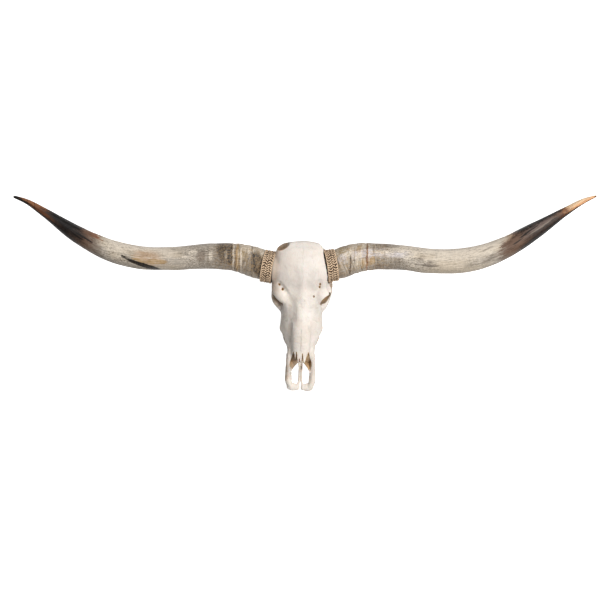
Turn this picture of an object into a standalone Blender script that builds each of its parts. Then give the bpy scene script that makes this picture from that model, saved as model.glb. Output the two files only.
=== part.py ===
"""The skull of a longhorn steer without its lower jaw, with rope wound round the horn bases.

Metres, +Z up. The skull lies face up, as it rests on a table: on its cheek teeth and, behind them,
on the two jugular processes, all at Z 0. The nose points along -Y, the poll along +Y, and the
animal's left is +X. Sizes below are measured in the skull's own frame, whose Y 0 is the root of the
nasal bones, level with the eyes. The whole skull hangs from one empty that sets this frame back by
ROOT_OF_NOSE_Y, so that the model's middle, horns included, stands over the origin.
"""

import math

import bmesh
import bpy
from mathutils import Matrix, Vector

ROOT_OF_NOSE_Y = -0.033
SUTURE_GAP = 0.0004  # between neighbouring bones
FIT_GAP = 0.0004  # between the rope, the horn and the bone that it grips
VOXEL = 0.003
SKULL_TRIANGLES = 5000

# The roof and sides of the skull, as cross-sections from the poll to the tips of the nasal bones:
# Y, half width, height of the widest place, top, bottom, squareness (2 is an ellipse).
HEAD_SECTIONS = (
    (0.201, 0.022, 0.160, 0.170, 0.150, 2.0),
    (0.193, 0.062, 0.160, 0.187, 0.134, 2.1),
    (0.180, 0.080, 0.162, 0.199, 0.110, 2.4),
    (0.155, 0.090, 0.164, 0.207, 0.095, 2.3),
    (0.120, 0.095, 0.163, 0.209, 0.085, 2.2),
    (0.088, 0.098, 0.160, 0.205, 0.080, 2.1),
    (0.058, 0.099, 0.157, 0.198, 0.070, 2.1),
    (0.030, 0.094, 0.153, 0.190, 0.055, 2.1),
    (0.005, 0.080, 0.146, 0.180, 0.045, 2.1),
    (-0.018, 0.068, 0.130, 0.171, 0.038, 1.9),
    (-0.045, 0.065, 0.106, 0.159, 0.028, 1.6),
    (-0.090, 0.067, 0.083, 0.142, 0.026, 1.5),
    (-0.120, 0.059, 0.076, 0.131, 0.026, 1.5),
    (-0.150, 0.050, 0.074, 0.118, 0.028, 1.6),
    (-0.190, 0.046, 0.068, 0.096, 0.036, 1.9),
    (-0.212, 0.042, 0.060, 0.076, 0.046, 2.0),
)
# The vault of the nasal bones, which stands above the sides of the face.
NOSE_SECTIONS = (
    (0.035, 0.020, 0.172, 0.186, 0.158, 2.0),
    (0.012, 0.028, 0.1615, 0.1790, 0.144, 2.0),
    (-0.030, 0.030, 0.1495, 0.1681, 0.131, 2.0),
    (-0.090, 0.031, 0.1320, 0.1512, 0.113, 2.0),
    (-0.150, 0.0305, 0.1120, 0.1309, 0.093, 2.0),
    (-0.205, 0.0285, 0.0930, 0.1107, 0.075, 2.0),
    (-0.216, 0.0280, 0.0895, 0.1065, 0.073, 2.0),
)
SECTION_POINTS = 40
ROOF_SHIFT = -0.0040  # how far to its left the roof stands over the horns
POLL_SHIFT = 0.0065  # and the poll's end beside that

# The middle of each eye socket's mouth, the way it faces, and how far out and up its opening widens.
ORBITS = {
    1: (Vector((0.0755, 0.011, 0.130)), Vector((0.68, -0.62, 0.38)).normalized(), 0.022, 0.0105),
    -1: (Vector((-0.0765, 0.006, 0.128)), Vector((-0.65, -0.70, 0.29)).normalized(), 0.026, -0.0035),
}
ORBIT_RADIUS = 0.0290
ORBIT_RIM = 0.0058

TOOTH_ROW_BACK = -0.014
TOOTH_LENGTHS = (0.030, 0.027, 0.022, 0.018, 0.018, 0.014)  # third molar to second premolar
TOOTH_WIDTHS = (0.021, 0.023, 0.022, 0.019, 0.017, 0.013)
TOOTH_ROW_X = (0.050, 0.050, 0.049, 0.046, 0.043, 0.040)
TOOTH_HEIGHT = 0.045

# Horns: X, Y and Z of the middle, and the radius, from the root under the rope to the tip.
HORN_LEFT = (
    (0.090, 0.118, 0.1425, 0.0475),
    (0.112, 0.1225, 0.1406, 0.0485),
    (0.120, 0.1245, 0.1400, 0.0503),
    (0.161, 0.1405, 0.1390, 0.0512),
    (0.195, 0.149, 0.1410, 0.0491),
    (0.263, 0.153, 0.1455, 0.0443),
    (0.331, 0.1515, 0.149, 0.0428),
    (0.440, 0.141, 0.156, 0.0422),
    (0.567, 0.149, 0.169, 0.0415),
    (0.674, 0.186, 0.184, 0.0372),
    (0.779, 0.248, 0.202, 0.0287),
    (0.883, 0.317, 0.222, 0.0146),
    (0.945, 0.354, 0.235, 0.0088),
    (0.984, 0.370, 0.242, 0.0034),
)
HORN_RIGHT = (
    (-0.112, 0.111, 0.1423, 0.0475),
    (-0.1335, 0.115, 0.1406, 0.0488),
    (-0.1415, 0.118, 0.1400, 0.0505),
    (-0.1795, 0.1305, 0.1390, 0.0515),
    (-0.214, 0.139, 0.1410, 0.0484),
    (-0.248, 0.1425, 0.1440, 0.0459),
    (-0.309, 0.143, 0.149, 0.0437),
    (-0.444, 0.132, 0.157, 0.0396),
    (-0.552, 0.133, 0.167, 0.0390),
    (-0.660, 0.158, 0.182, 0.0364),
    (-0.767, 0.209, 0.200, 0.0282),
    (-0.875, 0.279, 0.220, 0.0150),
    (-0.935, 0.314, 0.232, 0.0086),
    (-0.9775, 0.3290, 0.240, 0.0044),
)
HORN_SIDES = 12
STUB_RADIUS = 0.0470  # the bone that fills the horn's root, under the rope

# The rope round each horn's root: a thick collar. X, Y and Z of the two ends of its middle line.
COLLAR_LEFT = ((0.0780, 0.1160, 0.1436), (0.1145, 0.1228, 0.1404))
COLLAR_RIGHT = ((-0.0970, 0.1085, 0.1436), (-0.1355, 0.1148, 0.1404))
COLLAR_RADIUS = 0.0555
COLLAR_BORE = 0.0482
HORN_ROOM = 0.050  # length of the space that is kept clear of bone from a horn's root outwards

# Sutures. The nasal bones lie on a slope, under a plan outline of half their width.
NASAL_ROOT = Vector((0.0, 0.006, 0.183))
NASAL_SLOPE = math.radians(19.3)
NASAL_DEPTH = 0.008
NASAL_OUTLINE = (  # distance down the slope, half width
    (0.000, 0.000),
    (0.018, 0.014),
    (0.045, 0.022),
    (0.120, 0.0255),
    (0.185, 0.0265),
    (0.212, 0.0200),
    (0.240, 0.0140),
)
# Seen from the side, Y and Z along the edge between the maxilla and the bones behind it.
MAXILLA_BACK_EDGE = (
    (-0.060, 0.300),
    (-0.060, 0.150),
    (-0.074, 0.108),
    (-0.042, 0.080),
    (-0.010, 0.058),
    (0.004, -0.050),
)
# The same between the premaxilla and the maxilla.
PREMAXILLA_EDGE = (
    (-0.180, 0.300),
    (-0.184, 0.108),
    (-0.212, 0.056),
    (-0.242, 0.022),
    (-0.246, -0.050),
)

# Seen from above, X and Y of the openings of the nose, for the left side.
NOSE_SIDE = (
    (0.0256, -0.1785),
    (0.0165, -0.2100),
    (0.0120, -0.2180),
    (0.0115, -0.2600),
    (0.0322, -0.2600),
    (0.0326, -0.2300),
    (0.0318, -0.2040),
)
PALATE_SLOT = (
    (0.0076, -0.2160),
    (0.0100, -0.2165),
    (0.0245, -0.2340),
    (0.0298, -0.2450),
    (0.0302, -0.2560),
    (0.0292, -0.2680),
    (0.0255, -0.2800),
    (0.0195, -0.2885),
    (0.0130, -0.2895),
    (0.0096, -0.2830),
    (0.0078, -0.2680),
    (0.0074, -0.2450),
)
# The left corner of the poll is missing.
POLL_CORNER = (
    (0.0371, 0.1990),
    (0.0541, 0.1941),
    (0.0644, 0.1843),
    (0.0705, 0.1700),
    (0.0720, 0.1560),
    (0.1200, 0.1560),
    (0.1200, 0.2150),
    (0.0371, 0.2150),
)
FORAMINA = {1: (0.0600, 0.0500), -1: (-0.0665, 0.0360)}  # X and Y of the hole above each eye

BONE_COLOUR = (0.86, 0.80, 0.72, 1)
HORN_COLOUR = (0.52, 0.45, 0.36, 1)
ROPE_COLOUR = (0.58, 0.43, 0.27, 1)


def material(name, colour, roughness):
    made = bpy.data.materials.new(name)
    made.use_nodes = True
    shader = made.node_tree.nodes["Principled BSDF"]
    shader.inputs["Base Color"].default_value = colour
    shader.inputs["Roughness"].default_value = roughness
    made.diffuse_color = colour
    return made


def object_of(bm, name, collection):
    """An object from a bmesh, which is freed."""
    mesh = bpy.data.meshes.new(name)
    bmesh.ops.recalc_face_normals(bm, faces=bm.faces)
    bm.to_mesh(mesh)
    bm.free()
    made = bpy.data.objects.new(name, mesh)
    collection.objects.link(made)
    return made


def add_ball(bm, centre, radii, turn=(0.0, 0.0, 0.0)):
    """An ellipsoid. The turn is in degrees about X, Y and Z."""
    turned = Matrix.Rotation(math.radians(turn[2]), 4, "Z") @ Matrix.Rotation(
        math.radians(turn[1]), 4, "Y"
    ) @ Matrix.Rotation(math.radians(turn[0]), 4, "X")
    place = Matrix.Translation(centre) @ turned @ Matrix.Diagonal((*radii, 1.0))
    bmesh.ops.create_icosphere(bm, subdivisions=3, radius=1.0, matrix=place)


def add_tube(bm, stations, sides=12, closed=False, steps=4):
    """A tube on a smooth line through stations of X, Y, Z and radius."""
    curve = bpy.data.curves.new("guide", "CURVE")
    curve.dimensions = "3D"
    curve.bevel_depth = 1.0
    curve.bevel_resolution = sides // 2 - 2
    curve.use_fill_caps = True
    spline = curve.splines.new("BEZIER")
    spline.bezier_points.add(len(stations) - 1)
    spline.radius_interpolation = "CARDINAL"
    spline.resolution_u = steps
    spline.use_cyclic_u = closed
    for point, (x, y, z, radius) in zip(spline.bezier_points, stations):
        point.co = (x, y, z)
        point.radius = radius
        point.handle_left_type = point.handle_right_type = "AUTO"
    guide = bpy.data.objects.new("guide", curve)
    bpy.context.scene.collection.objects.link(guide)
    bpy.context.view_layer.update()
    mesh = bpy.data.meshes.new_from_object(guide.evaluated_get(bpy.context.evaluated_depsgraph_get()))
    tube = bmesh.new()
    tube.from_mesh(mesh)
    bmesh.ops.remove_doubles(tube, verts=tube.verts, dist=1e-6)
    bmesh.ops.recalc_face_normals(tube, faces=tube.faces)
    tube.to_mesh(mesh)
    tube.free()
    bm.from_mesh(mesh)
    bpy.data.objects.remove(guide)
    bpy.data.curves.remove(curve)
    bpy.data.meshes.remove(mesh)


def mirrored(stations, side):
    return [(side * x, *rest) for x, *rest in stations]


def smooth_step(value, low, high):
    """0 up to low, 1 from high, smooth between."""
    share = min(max((value - low) / (high - low), 0.0), 1.0)
    return share * share * (3 - 2 * share)


def add_loft(bm, sections):
    """A body through superellipse cross-sections, over which the roof is a little crooked."""
    rings = []
    for y, half_width, widest, top, bottom, squareness in sections:
        middle = ROOF_SHIFT * smooth_step(y, 0.05, 0.14) + POLL_SHIFT * smooth_step(y, 0.15, 0.19)
        ring = []
        for step in range(SECTION_POINTS):
            angle = 2 * math.pi * step / SECTION_POINTS
            across, up = math.cos(angle), math.sin(angle)
            reach = (abs(across) ** squareness + abs(up) ** squareness) ** (-1 / squareness)
            height = top - widest if up > 0 else widest - bottom
            x = middle + half_width * across * reach
            ring.append(bm.verts.new((x, y, widest + height * up * reach)))
        rings.append(ring)
    for first, second in zip(rings, rings[1:]):
        for step in range(SECTION_POINTS):
            after = (step + 1) % SECTION_POINTS
            bm.faces.new((first[step], first[after], second[after], second[step]))
    bm.faces.new(rings[0])
    bm.faces.new(list(reversed(rings[-1])))


def add_prism(bm, outline, low, high, place):
    """A flat outline pulled from low to high along its own Z, then put in its place."""
    bottom = [bm.verts.new(place @ Vector((x, y, low))) for x, y in outline]
    face = bm.faces.new(bottom)
    pulled = bmesh.ops.extrude_face_region(bm, geom=[face])
    lifted = [item for item in pulled["geom"] if isinstance(item, bmesh.types.BMVert)]
    along = place.to_3x3() @ Vector((0, 0, high - low))
    bmesh.ops.translate(bm, verts=lifted, vec=along)


def add_block(bm, centre, size):
    bmesh.ops.create_cube(
        bm, size=1.0, matrix=Matrix.Translation(centre) @ Matrix.Diagonal((*size, 1.0))
    )


def orbit_ring(side, points=10):
    """Stations of the rim round an eye socket."""
    centre, facing, _, _ = ORBITS[side]
    up = Vector((0, 0, 1)) - facing * facing.z
    up.normalize()
    across = facing.cross(up)
    ring = []
    for step in range(points):
        angle = 2 * math.pi * step / points
        spot = centre + (up * math.cos(angle) + across * math.sin(angle)) * ORBIT_RADIUS
        ring.append((*spot, ORBIT_RIM))
    return ring


def add_side_bones(bm, side):
    """The arches, processes and cheek of one side."""
    add_tube(bm, orbit_ring(side), closed=True)
    arch = (
        (0.077, -0.014, 0.095, 0.011),
        (0.090, 0.008, 0.091, 0.010),
        (0.0975, 0.036, 0.090, 0.008),
        (0.0935, 0.075, 0.092, 0.009),
        (0.083, 0.105, 0.097, 0.012),
        (0.076, 0.135, 0.104, 0.013),
    )
    cheek = (
        (0.070, -0.010, 0.098, 0.016),
        (0.0550, -0.045, 0.086, 0.015),
        (0.056, -0.080, 0.074, 0.013),
        (0.0590, -0.102, 0.068, 0.010),
    )
    temple = (
        (0.085, 0.104, 0.164, 0.010),
        (0.086, 0.082, 0.163, 0.009),
        (0.088, 0.056, 0.161, 0.009),
        (0.090, 0.034, 0.156, 0.010),
    )
    jugular = (
        (0.066, 0.150, 0.085, 0.016),
        (0.062, 0.148, 0.050, 0.011),
        (0.058, 0.142, 0.022, 0.008),
        (0.056, 0.139, -0.004, 0.0065),
    )
    pterygoid = (
        (0.034, -0.005, 0.044, 0.008),
        (0.027, 0.022, 0.042, 0.005),
        (0.024, 0.045, 0.046, 0.006),
        (0.026, 0.070, 0.058, 0.009),
    )
    for stations in (arch, cheek, temple, jugular, pterygoid):
        add_tube(bm, mirrored(stations, side))
    add_ball(bm, (side * 0.075, 0.024, 0.156), (0.0215, 0.037, 0.0225), (0, 0, -side * 27))  # brow
    behind_eye = (side * 0.0885, 0.049, 0.122)
    add_ball(bm, behind_eye, (0.010, 0.015, 0.034), (0, -side * 13, 0))
    add_ball(bm, (side * 0.065, -0.095, 0.070), (0.0085, 0.013, 0.010))  # facial tuber
    add_ball(bm, (side * 0.079, 0.086, 0.086), (0.021, 0.018, 0.012))  # jaw joint
    add_ball(bm, (side * 0.070, 0.148, 0.112), (0.024, 0.022, 0.044))  # mastoid corner
    add_ball(bm, (side * 0.040, 0.108, 0.048), (0.013, 0.019, 0.020))  # bulla
    add_ball(bm, (side * 0.028, 0.172, 0.058), (0.017, 0.016, 0.022), (20, 0, -side * 25))
    add_ball(bm, (side * 0.046, -0.070, 0.055), (0.022, 0.085, 0.036))  # above the tooth row


def add_teeth(bm, side):
    back = TOOTH_ROW_BACK
    for length, width, x in zip(TOOTH_LENGTHS, TOOTH_WIDTHS, TOOTH_ROW_X):
        centre = (side * x, back - length / 2, TOOTH_HEIGHT / 2 - 0.004)
        add_block(bm, centre, (width, length * 0.96, TOOTH_HEIGHT))
        back -= length


def add_premaxilla(bm, side):
    bar = (
        (0.0350, -0.2945, 0.0235, 0.0098),
        (0.0412, -0.279, 0.0255, 0.0110),
        (0.0416, -0.255, 0.0325, 0.0110),
        (0.0412, -0.226, 0.0540, 0.0104),
        (0.0408, -0.198, 0.0745, 0.0092),
        (0.0385, -0.172, 0.0850, 0.0075),
    )
    lower = (
        (0.0400, -0.260, 0.028, 0.0095),
        (0.0400, -0.225, 0.036, 0.0100),
        (0.0390, -0.190, 0.044, 0.0110),
    )
    inner = (
        (0.0098, -0.3045, 0.0215, 0.0060),
        (0.0080, -0.2930, 0.0225, 0.0050),
        (0.0044, -0.2800, 0.0240, 0.0048),
        (0.0034, -0.2600, 0.0260, 0.0048),
        (0.0042, -0.2200, 0.0345, 0.0056),
        (0.0044, -0.1700, 0.0470, 0.0060),
    )
    for stations in (bar, lower, inner):
        add_tube(bm, mirrored(stations, side))
    add_ball(bm, (side * 0.0255, -0.3008, 0.0215), (0.0215, 0.0150, 0.0078))
    add_ball(bm, (side * 0.0405, -0.276, 0.0230), (0.0110, 0.0200, 0.0078))
    add_ball(bm, (side * 0.0230, -0.2230, 0.0400), (0.0200, 0.0340, 0.0080), (-12, 0, 0))  # floor


def skull_solid(collection):
    """Everything that is bone, before anything is cut from it."""
    bm = bmesh.new()
    add_loft(bm, HEAD_SECTIONS)
    add_loft(bm, NOSE_SECTIONS)
    add_ball(bm, (0, 0.112, 0.118), (0.068, 0.072, 0.062))  # braincase
    add_ball(bm, (0, 0.150, 0.114), (0.088, 0.032, 0.066))  # back of the head
    add_ball(bm, (0, 0.158, 0.078), (0.052, 0.026, 0.038))
    base = (
        (0, 0.150, 0.048, 0.016),
        (0, 0.110, 0.044, 0.018),
        (0, 0.060, 0.052, 0.018),
        (0, 0.020, 0.066, 0.020),
    )
    add_tube(bm, base)
    rim = (
        (-0.0965, 0.030, 0.106, 0.0065),
        (-0.0955, 0.006, 0.108, 0.0075),
        (-0.0890, -0.0085, 0.108, 0.0080),
        (-0.0770, -0.019, 0.106, 0.0085),
    )
    add_tube(bm, rim)  # the right eye's lower rim stands out further
    for side, horn, ends in ((1, HORN_LEFT, COLLAR_LEFT), (-1, HORN_RIGHT, COLLAR_RIGHT)):
        root, neck = Vector(horn[0][:3]), Vector(horn[1][:3])
        seat = Vector(ends[0])
        out = (Vector(ends[1]) - seat).normalized()
        stub = (
            (*(seat - out * 0.045), 0.034),
            (*(seat - out * 0.006), 0.0475),
            (*root, STUB_RADIUS),
            (*root.lerp(neck, 0.60), STUB_RADIUS),
        )
        add_tube(bm, stub, sides=24)
        add_side_bones(bm, side)
        add_teeth(bm, side)
        add_premaxilla(bm, side)
    return object_of(bm, "skull", collection)


def nasal_place():
    """The matrix of the nasal bones' own plane: local Y runs down the slope towards the tips."""
    return Matrix.Translation(NASAL_ROOT) @ Matrix.Rotation(NASAL_SLOPE, 4, "X") @ Matrix.Rotation(
        math.pi, 4, "Z"
    )


def hollows(collection):
    """The shapes that are cut from the skull."""
    bm = bmesh.new()
    for side in (-1, 1):
        centre, facing, ahead, above = ORBITS[side]
        turn = math.degrees(math.atan2(facing.y, facing.x))
        add_ball(bm, centre - facing * 0.014, (0.034, 0.0285, 0.0275), (0, 0, turn))
        mouth = centre + facing * ahead + Vector((0, 0, above))
        add_ball(bm, mouth, (0.035, 0.0285, 0.0285), (0, 0, turn))
        # The temporal fossa, from behind the orbit to the ear, under the edge of the roof.
        fossa = (
            (0.092, 0.080, 0.125, 0.022),
            (0.093, 0.108, 0.124, 0.021),
            (0.096, 0.134, 0.118, 0.012),
        )
        add_tube(bm, mirrored(fossa, side))
        # The space between the palate and the arch, below the orbit.
        below = (
            (0.060, 0.012, 0.058, 0.017),
            (0.060, 0.040, 0.062, 0.020),
            (0.060, 0.066, 0.066, 0.017),
        )
        add_tube(bm, mirrored(below, side))
        through = ((0.069, 0.040, 0.070, 0.013), (0.078, 0.062, 0.108, 0.013))
        add_tube(bm, mirrored(through, side))
        x, y = FORAMINA[side]
        add_tube(bm, ((x, y, 0.210, 0.0035), (x, y, 0.180, 0.0030)))
        infraorbital = ((0.064, -0.140, 0.066, 0.0055), (0.044, -0.118, 0.064, 0.0045))
        add_tube(bm, mirrored(infraorbital, side))
        # The two halves of the opening of the nose and the slots in the palate under it.
        for outline, low, high in ((NOSE_SIDE, 0.052, 0.150), (PALATE_SLOT, -0.020, 0.060)):
            add_prism(bm, [(side * x, y) for x, y in outline], low, high, Matrix.Identity(4))
        airway = (
            (0.0185, -0.236, 0.070, 0.0170),
            (0.0185, -0.200, 0.068, 0.0175),
            (0.0175, -0.160, 0.074, 0.0165),
            (0.0150, -0.120, 0.084, 0.0110),
        )
        add_tube(bm, mirrored(airway, side))
        upper = (
            (0.016, -0.240, 0.092, 0.012),
            (0.016, -0.205, 0.087, 0.012),
            (0.014, -0.150, 0.098, 0.010),
        )
        add_tube(bm, mirrored(upper, side))
    front = ((-0.014, -0.2145), (0.014, -0.2145), (0.014, -0.270), (-0.014, -0.270))
    add_prism(bm, front, 0.054, 0.150, Matrix.Identity(4))
    edge = (
        (0.1055, 0.034, 0.166, 0.0175),
        (0.0975, 0.054, 0.166, 0.0180),
        (0.0990, 0.078, 0.166, 0.0180),
    )
    add_tube(bm, edge)  # the roof's edge is broken away over the left temple
    add_prism(bm, POLL_CORNER, 0.120, 0.230, Matrix.Identity(4))
    add_ball(bm, (-0.0665, 0.1850, 0.200), (0.0270, 0.0145, 0.030), (0, 0, 32))  # hollow in the poll
    palate = (
        (0, 0.030, 0.024, 0.024),
        (0, -0.040, 0.012, 0.030),
        (0, -0.100, 0.010, 0.030),
        (0, -0.165, 0.006, 0.030),
        (0, -0.215, 0.000, 0.028),
    )
    add_tube(bm, palate)
    choana = ((0, 0.045, 0.030, 0.018), (0, 0.015, 0.050, 0.015), (0, -0.010, 0.060, 0.011))
    add_tube(bm, choana)
    add_tube(bm, ((0, 0.200, 0.066, 0.018), (0, 0.150, 0.070, 0.017)))  # foramen magnum
    return object_of(bm, "hollows", collection)


def add_modifier(piece, kind, **settings):
    modifier = piece.modifiers.new(kind.lower(), kind)
    for key, value in settings.items():
        setattr(modifier, key, value)
    return modifier


def settle(piece):
    """Makes the modified shape the piece's own mesh."""
    bpy.context.view_layer.update()
    graph = bpy.context.evaluated_depsgraph_get()
    mesh = bpy.data.meshes.new_from_object(piece.evaluated_get(graph))
    piece.modifiers.clear()
    piece.data = mesh


def triangle_count(mesh):
    return sum(len(face.vertices) - 2 for face in mesh.polygons)


def keep_largest(piece):
    """Drops the crumbs that a cut leaves beside the main body."""
    bm = bmesh.new()
    bm.from_mesh(piece.data)
    left = set(bm.verts)
    bodies = []
    while left:
        stack = [left.pop()]
        body = set(stack)
        while stack:
            for edge in stack.pop().link_edges:
                for vertex in edge.verts:
                    if vertex in left:
                        left.discard(vertex)
                        body.add(vertex)
                        stack.append(vertex)
        bodies.append(body)
    bodies.sort(key=len)
    for body in bodies[:-1]:
        bmesh.ops.delete(bm, geom=list(body), context="VERTS")
    bm.to_mesh(piece.data)
    bm.free()


def flatten_feet(piece):
    """Cuts the teeth and the jugular processes off flat at the table."""
    bm = bmesh.new()
    bm.from_mesh(piece.data)
    geometry = [*bm.verts, *bm.edges, *bm.faces]
    cut = bmesh.ops.bisect_plane(
        bm, geom=geometry, plane_co=(0, 0, 0), plane_no=(0, 0, -1), clear_outer=True
    )
    edges = [item for item in cut["geom_cut"] if isinstance(item, bmesh.types.BMEdge)]
    bmesh.ops.holes_fill(bm, edges=edges)
    bmesh.ops.recalc_face_normals(bm, faces=bm.faces)
    bm.to_mesh(piece.data)
    bm.free()


def whole_skull(helpers):
    """The skull in one piece, smooth, at its final number of triangles."""
    skull = skull_solid(helpers)
    add_modifier(skull, "REMESH", mode="VOXEL", voxel_size=VOXEL)
    settle(skull)
    cutter = hollows(helpers)
    add_modifier(cutter, "REMESH", mode="VOXEL", voxel_size=VOXEL)
    settle(cutter)
    add_modifier(skull, "BOOLEAN", object=cutter, operation="DIFFERENCE", solver="EXACT")
    settle(skull)
    add_modifier(skull, "REMESH", mode="VOXEL", voxel_size=VOXEL)
    add_modifier(skull, "SMOOTH", factor=0.5, iterations=3)
    settle(skull)
    ratio = SKULL_TRIANGLES / triangle_count(skull.data)
    add_modifier(skull, "DECIMATE", ratio=ratio)
    settle(skull)
    keep_largest(skull)
    flatten_feet(skull)
    return skull


def side_region(front_edge, back_edge, side, name, helpers):
    """The space between two edges that are drawn in the side view (Y, Z), on one side or, at 0, both."""
    outline = [*front_edge, *reversed(back_edge)]
    bm = bmesh.new()
    # Local X, Y and Z become the skull's Y, Z and X.
    place = Matrix(((0, 0, side or 1, 0), (1, 0, 0, 0), (0, 1, 0, 0), (0, 0, 0, 1)))
    add_prism(bm, outline, SUTURE_GAP / 2 if side else -0.25, 0.25, place)
    return object_of(bm, name, helpers)


def shifted(edge, distance):
    return [(y + distance, z) for y, z in edge]


def nasal_region(half, margin, name, helpers):
    """The space of the nasal bones: the left one, the right one, or both when half is 0."""
    # The outline's own X runs against the skull's, because its plane is turned half round.
    left = [(-width - margin, along) for along, width in NASAL_OUTLINE[1:]]
    right = [(width + margin, along) for along, width in NASAL_OUTLINE[1:]]
    root, tip = NASAL_OUTLINE[0][0] - 2 * margin, NASAL_OUTLINE[-1][0]
    if half:
        middle = -half * SUTURE_GAP / 2
        outline = [(middle, root), *(left if half > 0 else right), (middle, tip)]
    else:
        outline = [(0, root), *left, *reversed(right)]
    depth = NASAL_DEPTH + margin
    bm = bmesh.new()
    add_prism(bm, outline, -depth, 0.06, nasal_place())
    bmesh.ops.remove_doubles(bm, verts=bm.verts, dist=1e-6)
    return object_of(bm, name, helpers)


def cut_copy(whole, name, keep, remove, parts):
    """One bone: the whole skull inside one region and outside others."""
    bone = bpy.data.objects.new(name, whole.data.copy())
    parts.objects.link(bone)
    for region in keep:
        add_modifier(bone, "BOOLEAN", object=region, operation="INTERSECT", solver="EXACT")
    for region in remove:
        add_modifier(bone, "BOOLEAN", object=region, operation="DIFFERENCE", solver="EXACT")
    settle(bone)
    keep_largest(bone)
    return bone


def collar_place(ends):
    """The matrix of a rope collar, its local Z along the horn, and its length."""
    first = Vector(ends[0])
    second = Vector(ends[1])
    along = second - first
    turn = along.to_track_quat("Z", "Y").to_matrix().to_4x4()
    return Matrix.Translation((first + second) / 2) @ turn, along.length


def add_cylinder(bm, place, radius, length):
    bmesh.ops.create_cone(
        bm, cap_ends=True, segments=24, radius1=radius, radius2=radius, depth=length, matrix=place
    )


def collar(name, ends, collection, outer=COLLAR_RADIUS, bore=COLLAR_BORE, extra=0.0):
    """A short thick tube: the outline of the turns of rope."""
    place, length = collar_place(ends)
    bm = bmesh.new()
    add_cylinder(bm, place, outer, length + 2 * extra)
    ring = object_of(bm, name, collection)
    bm = bmesh.new()
    add_cylinder(bm, place, bore, 2 * length)
    hole = object_of(bm, name + ".bore", collection)
    add_modifier(ring, "BOOLEAN", object=hole, operation="DIFFERENCE", solver="EXACT")
    settle(ring)
    bpy.data.objects.remove(hole)
    return ring


def horn_room(name, stations, helpers):
    """The space from the root of a horn's sheath outwards, which no bone may enter."""
    root = Vector(stations[0][:3])
    neck = Vector(stations[1][:3])
    along = neck - root
    turn = along.to_track_quat("Z", "Y").to_matrix().to_4x4()
    middle = (root + neck) / 2 + along.normalized() * HORN_ROOM / 2
    bm = bmesh.new()
    add_cylinder(bm, Matrix.Translation(middle) @ turn, COLLAR_BORE, HORN_ROOM)
    return object_of(bm, name, helpers)


def horn(name, stations, seat, parts):
    """The horn's sheath, solid, from the middle of the rope to the tip. Its neck fits the rope."""
    root = Vector(stations[0][:3])
    neck = Vector(stations[1][:3])
    start = (root + neck) / 2 + (neck - root).normalized() * SUTURE_GAP
    bm = bmesh.new()
    add_tube(bm, [(*start, stations[0][3]), *stations[1:]], sides=HORN_SIDES, steps=2)
    sheath = object_of(bm, name, parts)
    add_modifier(sheath, "BOOLEAN", object=seat, operation="DIFFERENCE", solver="EXACT")
    settle(sheath)
    keep_largest(sheath)
    return sheath


def finish(piece, surface, frame):
    piece.data.materials.clear()
    piece.data.materials.append(surface)
    piece.data.shade_smooth()
    piece.data.set_sharp_from_angle(angle=math.radians(40))
    piece.parent = frame


def part_bones(skull, seats, helpers, parts):
    """Divides the skull at its sutures. Returns the bones."""
    half_gap = SUTURE_GAP / 2
    before_face = shifted(MAXILLA_BACK_EDGE, half_gap)
    back_of_cheek = shifted(MAXILLA_BACK_EDGE, -half_gap)
    front_of_cheek = shifted(PREMAXILLA_EDGE, half_gap)
    back_of_snout = shifted(PREMAXILLA_EDGE, -half_gap)
    far_front = shifted(PREMAXILLA_EDGE, -0.4)
    nose = nasal_region(0, half_gap, "nose", helpers)
    face = side_region(far_front, before_face, 0, "face", helpers)
    bones = [cut_copy(skull, "cranium", [], [nose, face, *seats], parts)]
    for side, word in ((1, "left"), (-1, "right")):
        cheek = side_region(front_of_cheek, back_of_cheek, side, "cheek_" + word, helpers)
        snout = side_region(far_front, back_of_snout, side, "snout_" + word, helpers)
        bridge = nasal_region(side, -half_gap, "bridge_" + word, helpers)
        bones.append(cut_copy(skull, "maxilla_" + word, [cheek], [nose], parts))
        bones.append(cut_copy(skull, "premaxilla_" + word, [snout], [nose], parts))
        bones.append(cut_copy(skull, "nasal_" + word, [bridge], [], parts))
    return bones


def collection_of(name):
    made = bpy.data.collections.new(name)
    bpy.context.scene.collection.children.link(made)
    return made


def main():
    for old in list(bpy.data.objects):
        bpy.data.objects.remove(old)
    parts = collection_of("longhorn_steer_skull")
    helpers = collection_of("helpers")
    frame = bpy.data.objects.new("skull_frame", None)
    frame.location = (0, ROOT_OF_NOSE_Y, 0)
    parts.objects.link(frame)

    bone = material("bone", BONE_COLOUR, 0.55)
    sheath = material("horn", HORN_COLOUR, 0.35)
    rope = material("rope", ROPE_COLOUR, 0.85)

    skull = whole_skull(helpers)
    seats = []
    rooms = [horn_room("room_left", HORN_LEFT, helpers), horn_room("room_right", HORN_RIGHT, helpers)]
    for word, ends in (("left", COLLAR_LEFT), ("right", COLLAR_RIGHT)):
        seat = collar(
            "seat_" + word,
            ends,
            helpers,
            outer=COLLAR_RADIUS + 0.012,
            bore=COLLAR_BORE - FIT_GAP,
            extra=FIT_GAP,
        )
        seats.append(seat)
        finish(collar("rope_" + word, ends, parts), rope, frame)
    for piece in part_bones(skull, [*seats, *rooms], helpers, parts):
        finish(piece, bone, frame)
    finish(horn("horn_left", HORN_LEFT, seats[0], parts), sheath, frame)
    finish(horn("horn_right", HORN_RIGHT, seats[1], parts), sheath, frame)
    for helper in list(helpers.objects):
        bpy.data.objects.remove(helper)


main()
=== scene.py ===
import itertools
import math

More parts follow.
